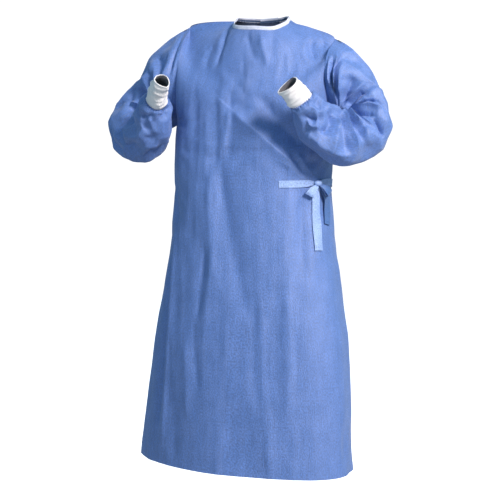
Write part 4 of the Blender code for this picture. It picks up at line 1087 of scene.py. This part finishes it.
def tape_look(name, pale, shade):
    """Pale folded tape with a close weave."""
    n = Nodes(bpy.data.materials.new(name))
    place = n.cloth_place(0.0012, 0.0012)
    weave = n.math("MULTIPLY", n.waves(place, 0), n.waves(place, 1))
    clouds = n.noise(n.cloth_place(0.014, 0.006), 3.0)
    mixed = n.blend(n.ranged(clouds, 0.0, 1.0), shade, pale)
    return n.shader_of({
        "Base Color": n.shaded(mixed, n.ranged(weave, 0.94, 1.04, -1.0, 1.0)),
        "Roughness": n.ranged(clouds, 0.70, 0.85),
        "Normal": n.bump(weave, 0.0003, 0.5, n.bump(clouds, 0.0010, 0.4)),
        "Sheen Weight": 0.2,
    })


def thread_look(name, colour):
    """Twisted sewing thread."""
    n = Nodes(bpy.data.materials.new(name))
    place = n.add("TexCoord").outputs["Object"]
    twist = n.add("TexNoise", {"Vector": place, "Scale": 900.0, "Detail": 1.0}).outputs["Fac"]
    return n.shader_of({
        "Base Color": n.shaded(colour, n.ranged(twist, 0.85, 1.1)),
        "Roughness": n.ranged(twist, 0.5, 0.7),
        "Normal": n.bump(twist, 0.0002, 0.5),
    })


def floor_look():
    """A plain floor that looks white to the camera and throws less light on the gown."""
    n = Nodes(bpy.data.materials.new("pale_floor"))
    place = n.add("TexCoord").outputs["Object"]
    mottle = n.add("TexNoise", {"Vector": place, "Scale": 1.5}).outputs["Fac"]
    seen = n.add("LightPath").outputs["Is Camera Ray"]
    pale = n.ranged(seen, FLOOR_LIT, FLOOR_PALE, 0.0, 1.0)
    paleness = n.math("MULTIPLY", pale, n.ranged(mottle, 0.99, 1.0))
    return n.shader_of({
        "Base Color": n.shaded((1.0, 1.0, 1.0), paleness),
        "Roughness": 0.9,
        "Emission Color": (1, 1, 1, 1),
        "Emission Strength": n.ranged(seen, 0.0, FLOOR_SEEN, 0.0, 1.0),
    })


def aimed(name, data, place, target):
    """A camera or light at a place, looking at a target."""
    made = bpy.data.objects.new(name, data)
    made.location = place
    made.rotation_euler = (Vector(target) - Vector(place)).to_track_quat("-Z", "Y").to_euler()
    bpy.context.scene.collection.objects.link(made)
    return made


def make_camera():
    data = bpy.data.cameras.new("photo_camera")
    data.sensor_width = SENSOR
    data.lens = FOCAL_PIXELS * SENSOR / IMAGE_PIXELS
    bpy.context.scene.camera = aimed("photo_camera", data, CAMERA_AT, CAMERA_AIM)


def make_studio():
    floor = mesh_object("floor", FLOOR_HALF * np.array([(-1, -1, 0), (1, -1, 0), (1, 1, 0), (-1, 1, 0)])
                        + [0, 0, FLOOR_Z], np.array([(0, 1, 2, 3)]), floor_look())
    for name, place, size, power, colour in LIGHTS:
        data = bpy.data.lights.new(name, "AREA")
        data.size, data.energy, data.color = size, power, colour
        aimed(name, data, place, LIT_POINT)
    n = Nodes(bpy.data.worlds.new("studio"), "Background")
    seen = n.add("LightPath").outputs["Is Camera Ray"]
    bpy.context.scene.world = n.shader_of({
        "Strength": n.ranged(seen, WORLD_LIGHT, WORLD_SEEN, 0.0, 1.0),
        "Color": n.blend(seen, WORLD_BLUE, (1, 1, 1)),
    })
    bpy.context.scene.view_settings.view_transform = "Standard"


def make_gown():
    """The three body panels, the sleeves and the cuffs. Hands back the rows at the neckline."""
    front, outer, inner = body_grids()
    top, low = SHOULDER_ROWS, SHOULDER_ROWS + ARMHOLE_ROWS
    # The inner faces of all the cloth take a far darker blue: painted shade of the gown's hollow inside
    inside = cloth_look("painted_shade_inside_nonwoven", PAINTED_SHADE_INSIDE_BLUE, PAINTED_SHADE_INSIDE_DEEP)
    blue = cloth_look("blue_nonwoven", BLUE, DEEP_BLUE), inside
    holes = {"left": np.concatenate([front[top:low + 1, -1], inner[low - 1:top:-1, 0]]),
             "right": np.concatenate([front[top:low + 1, 0], outer[low - 1:top:-1, -1]])}
    for name, node, grid in (
            ("gown_front", "front_panel", front),
            ("gown_back_outer", "back_flap_outer", outer),
            ("gown_back_inner", "back_flap_inner", inner)):
        dress(shell(name, grid, grid_normals(grid), WALL, blue), node)
    # The inside of the cuffs is painted dark grey: painted shade of their hollow
    knit = knit_look("white_rib_knit", KNIT_WHITE), knit_look("painted_shade_inside_knit", PAINTED_SHADE_INSIDE_KNIT)
    for arm, table, creases, cuff_table, rolls in (
            ("left", LEFT_SLEEVE, LEFT_ARM_CREASES, LEFT_CUFF, LEFT_ROLLS),
            ("right", RIGHT_SLEEVE, RIGHT_ARM_CREASES, RIGHT_CUFF, RIGHT_ROLLS)):
        turn = slice(None, None, -1 if arm == "left" else 1)
        rings = sleeve_grid(table, creases, ARM_GAINS[arm], holes[arm])
        faces = rings[:, turn], tube_normals(rings)[:, turn]
        piece = shell("gown_sleeve_" + arm, *faces, WALL, blue, around=True)
        dress(piece, "sleeve_" + arm)
        cuff = cuff_grid(cuff_table, rolls)
        faces = cuff[:, turn], tube_normals(cuff)[:, turn]
        piece = shell("gown_cuff_" + arm, *faces, KNIT_WALL, knit, around=True)
        dress(piece, "cuff_" + arm)
    return np.concatenate([outer[:2], front[:2, 1:], inner[:2, 1:]], 1)


def make_binding(neckline):
    """The neck binding and its line of stitches."""
    band = neck_band(neckline)
    normals = grid_normals(band)
    # Below its pale turned-in rows, the binding's inside is painted dark blue: painted shade
    tape = tape_look("pale_tape", TAPE_WHITE, TAPE_SHADE), tape_look("painted_shade_inside_tape", PAINTED_SHADE_INSIDE_TAPE, PAINTED_SHADE_INSIDE_TAPE)
    piece = shell("gown_neck_binding", band, normals, BINDING_WALL, tape, turned_in=TAPE_TURNED_IN)
    dress(piece, "neck_binding")
    row = round(STITCH_PLACE * BINDING_ROWS)
    stitches("neck_stitches", band[row], normals[row], thread_look("white_thread", THREAD_WHITE))


def make_bow():
    """The ties, their tails and loops, the stitches across them and the knot."""
    # The second look is a dark blue, painted shade on the back faces of the ties
    looks = cloth_look("pale_tie", TIE_BLUE, TIE_DEEP), cloth_look("painted_shade_tie", PAINTED_SHADE_TIE_BLUE, PAINTED_SHADE_TIE_DEEP)
    thread = thread_look("blue_thread", THREAD_BLUE)
    for node, table, is_loop, ends in TIES:
        grid = tie_grid(table, is_loop)
        normals = grid_normals(grid)
        # Two ties wear the dark look outside: painted shade where they face away from the light
        faces = looks[::-1] if node in PAINTED_SHADE_TIES else looks
        dress(shell("gown_" + node, grid, normals, TIE_WALL, faces), node)
        for number, row in enumerate(ends):
            name = "{}_stitches_{}".format(node, number)
            stitches(name, grid[row, 1:-1], normals[row, 1:-1], thread)
    points, faces = knot_ball()
    dress(mesh_object("gown_bow_knot", points, faces, looks[0]), "bow_knot")


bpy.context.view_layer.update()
make_camera()
make_studio()
make_binding(make_gown())
make_bow()
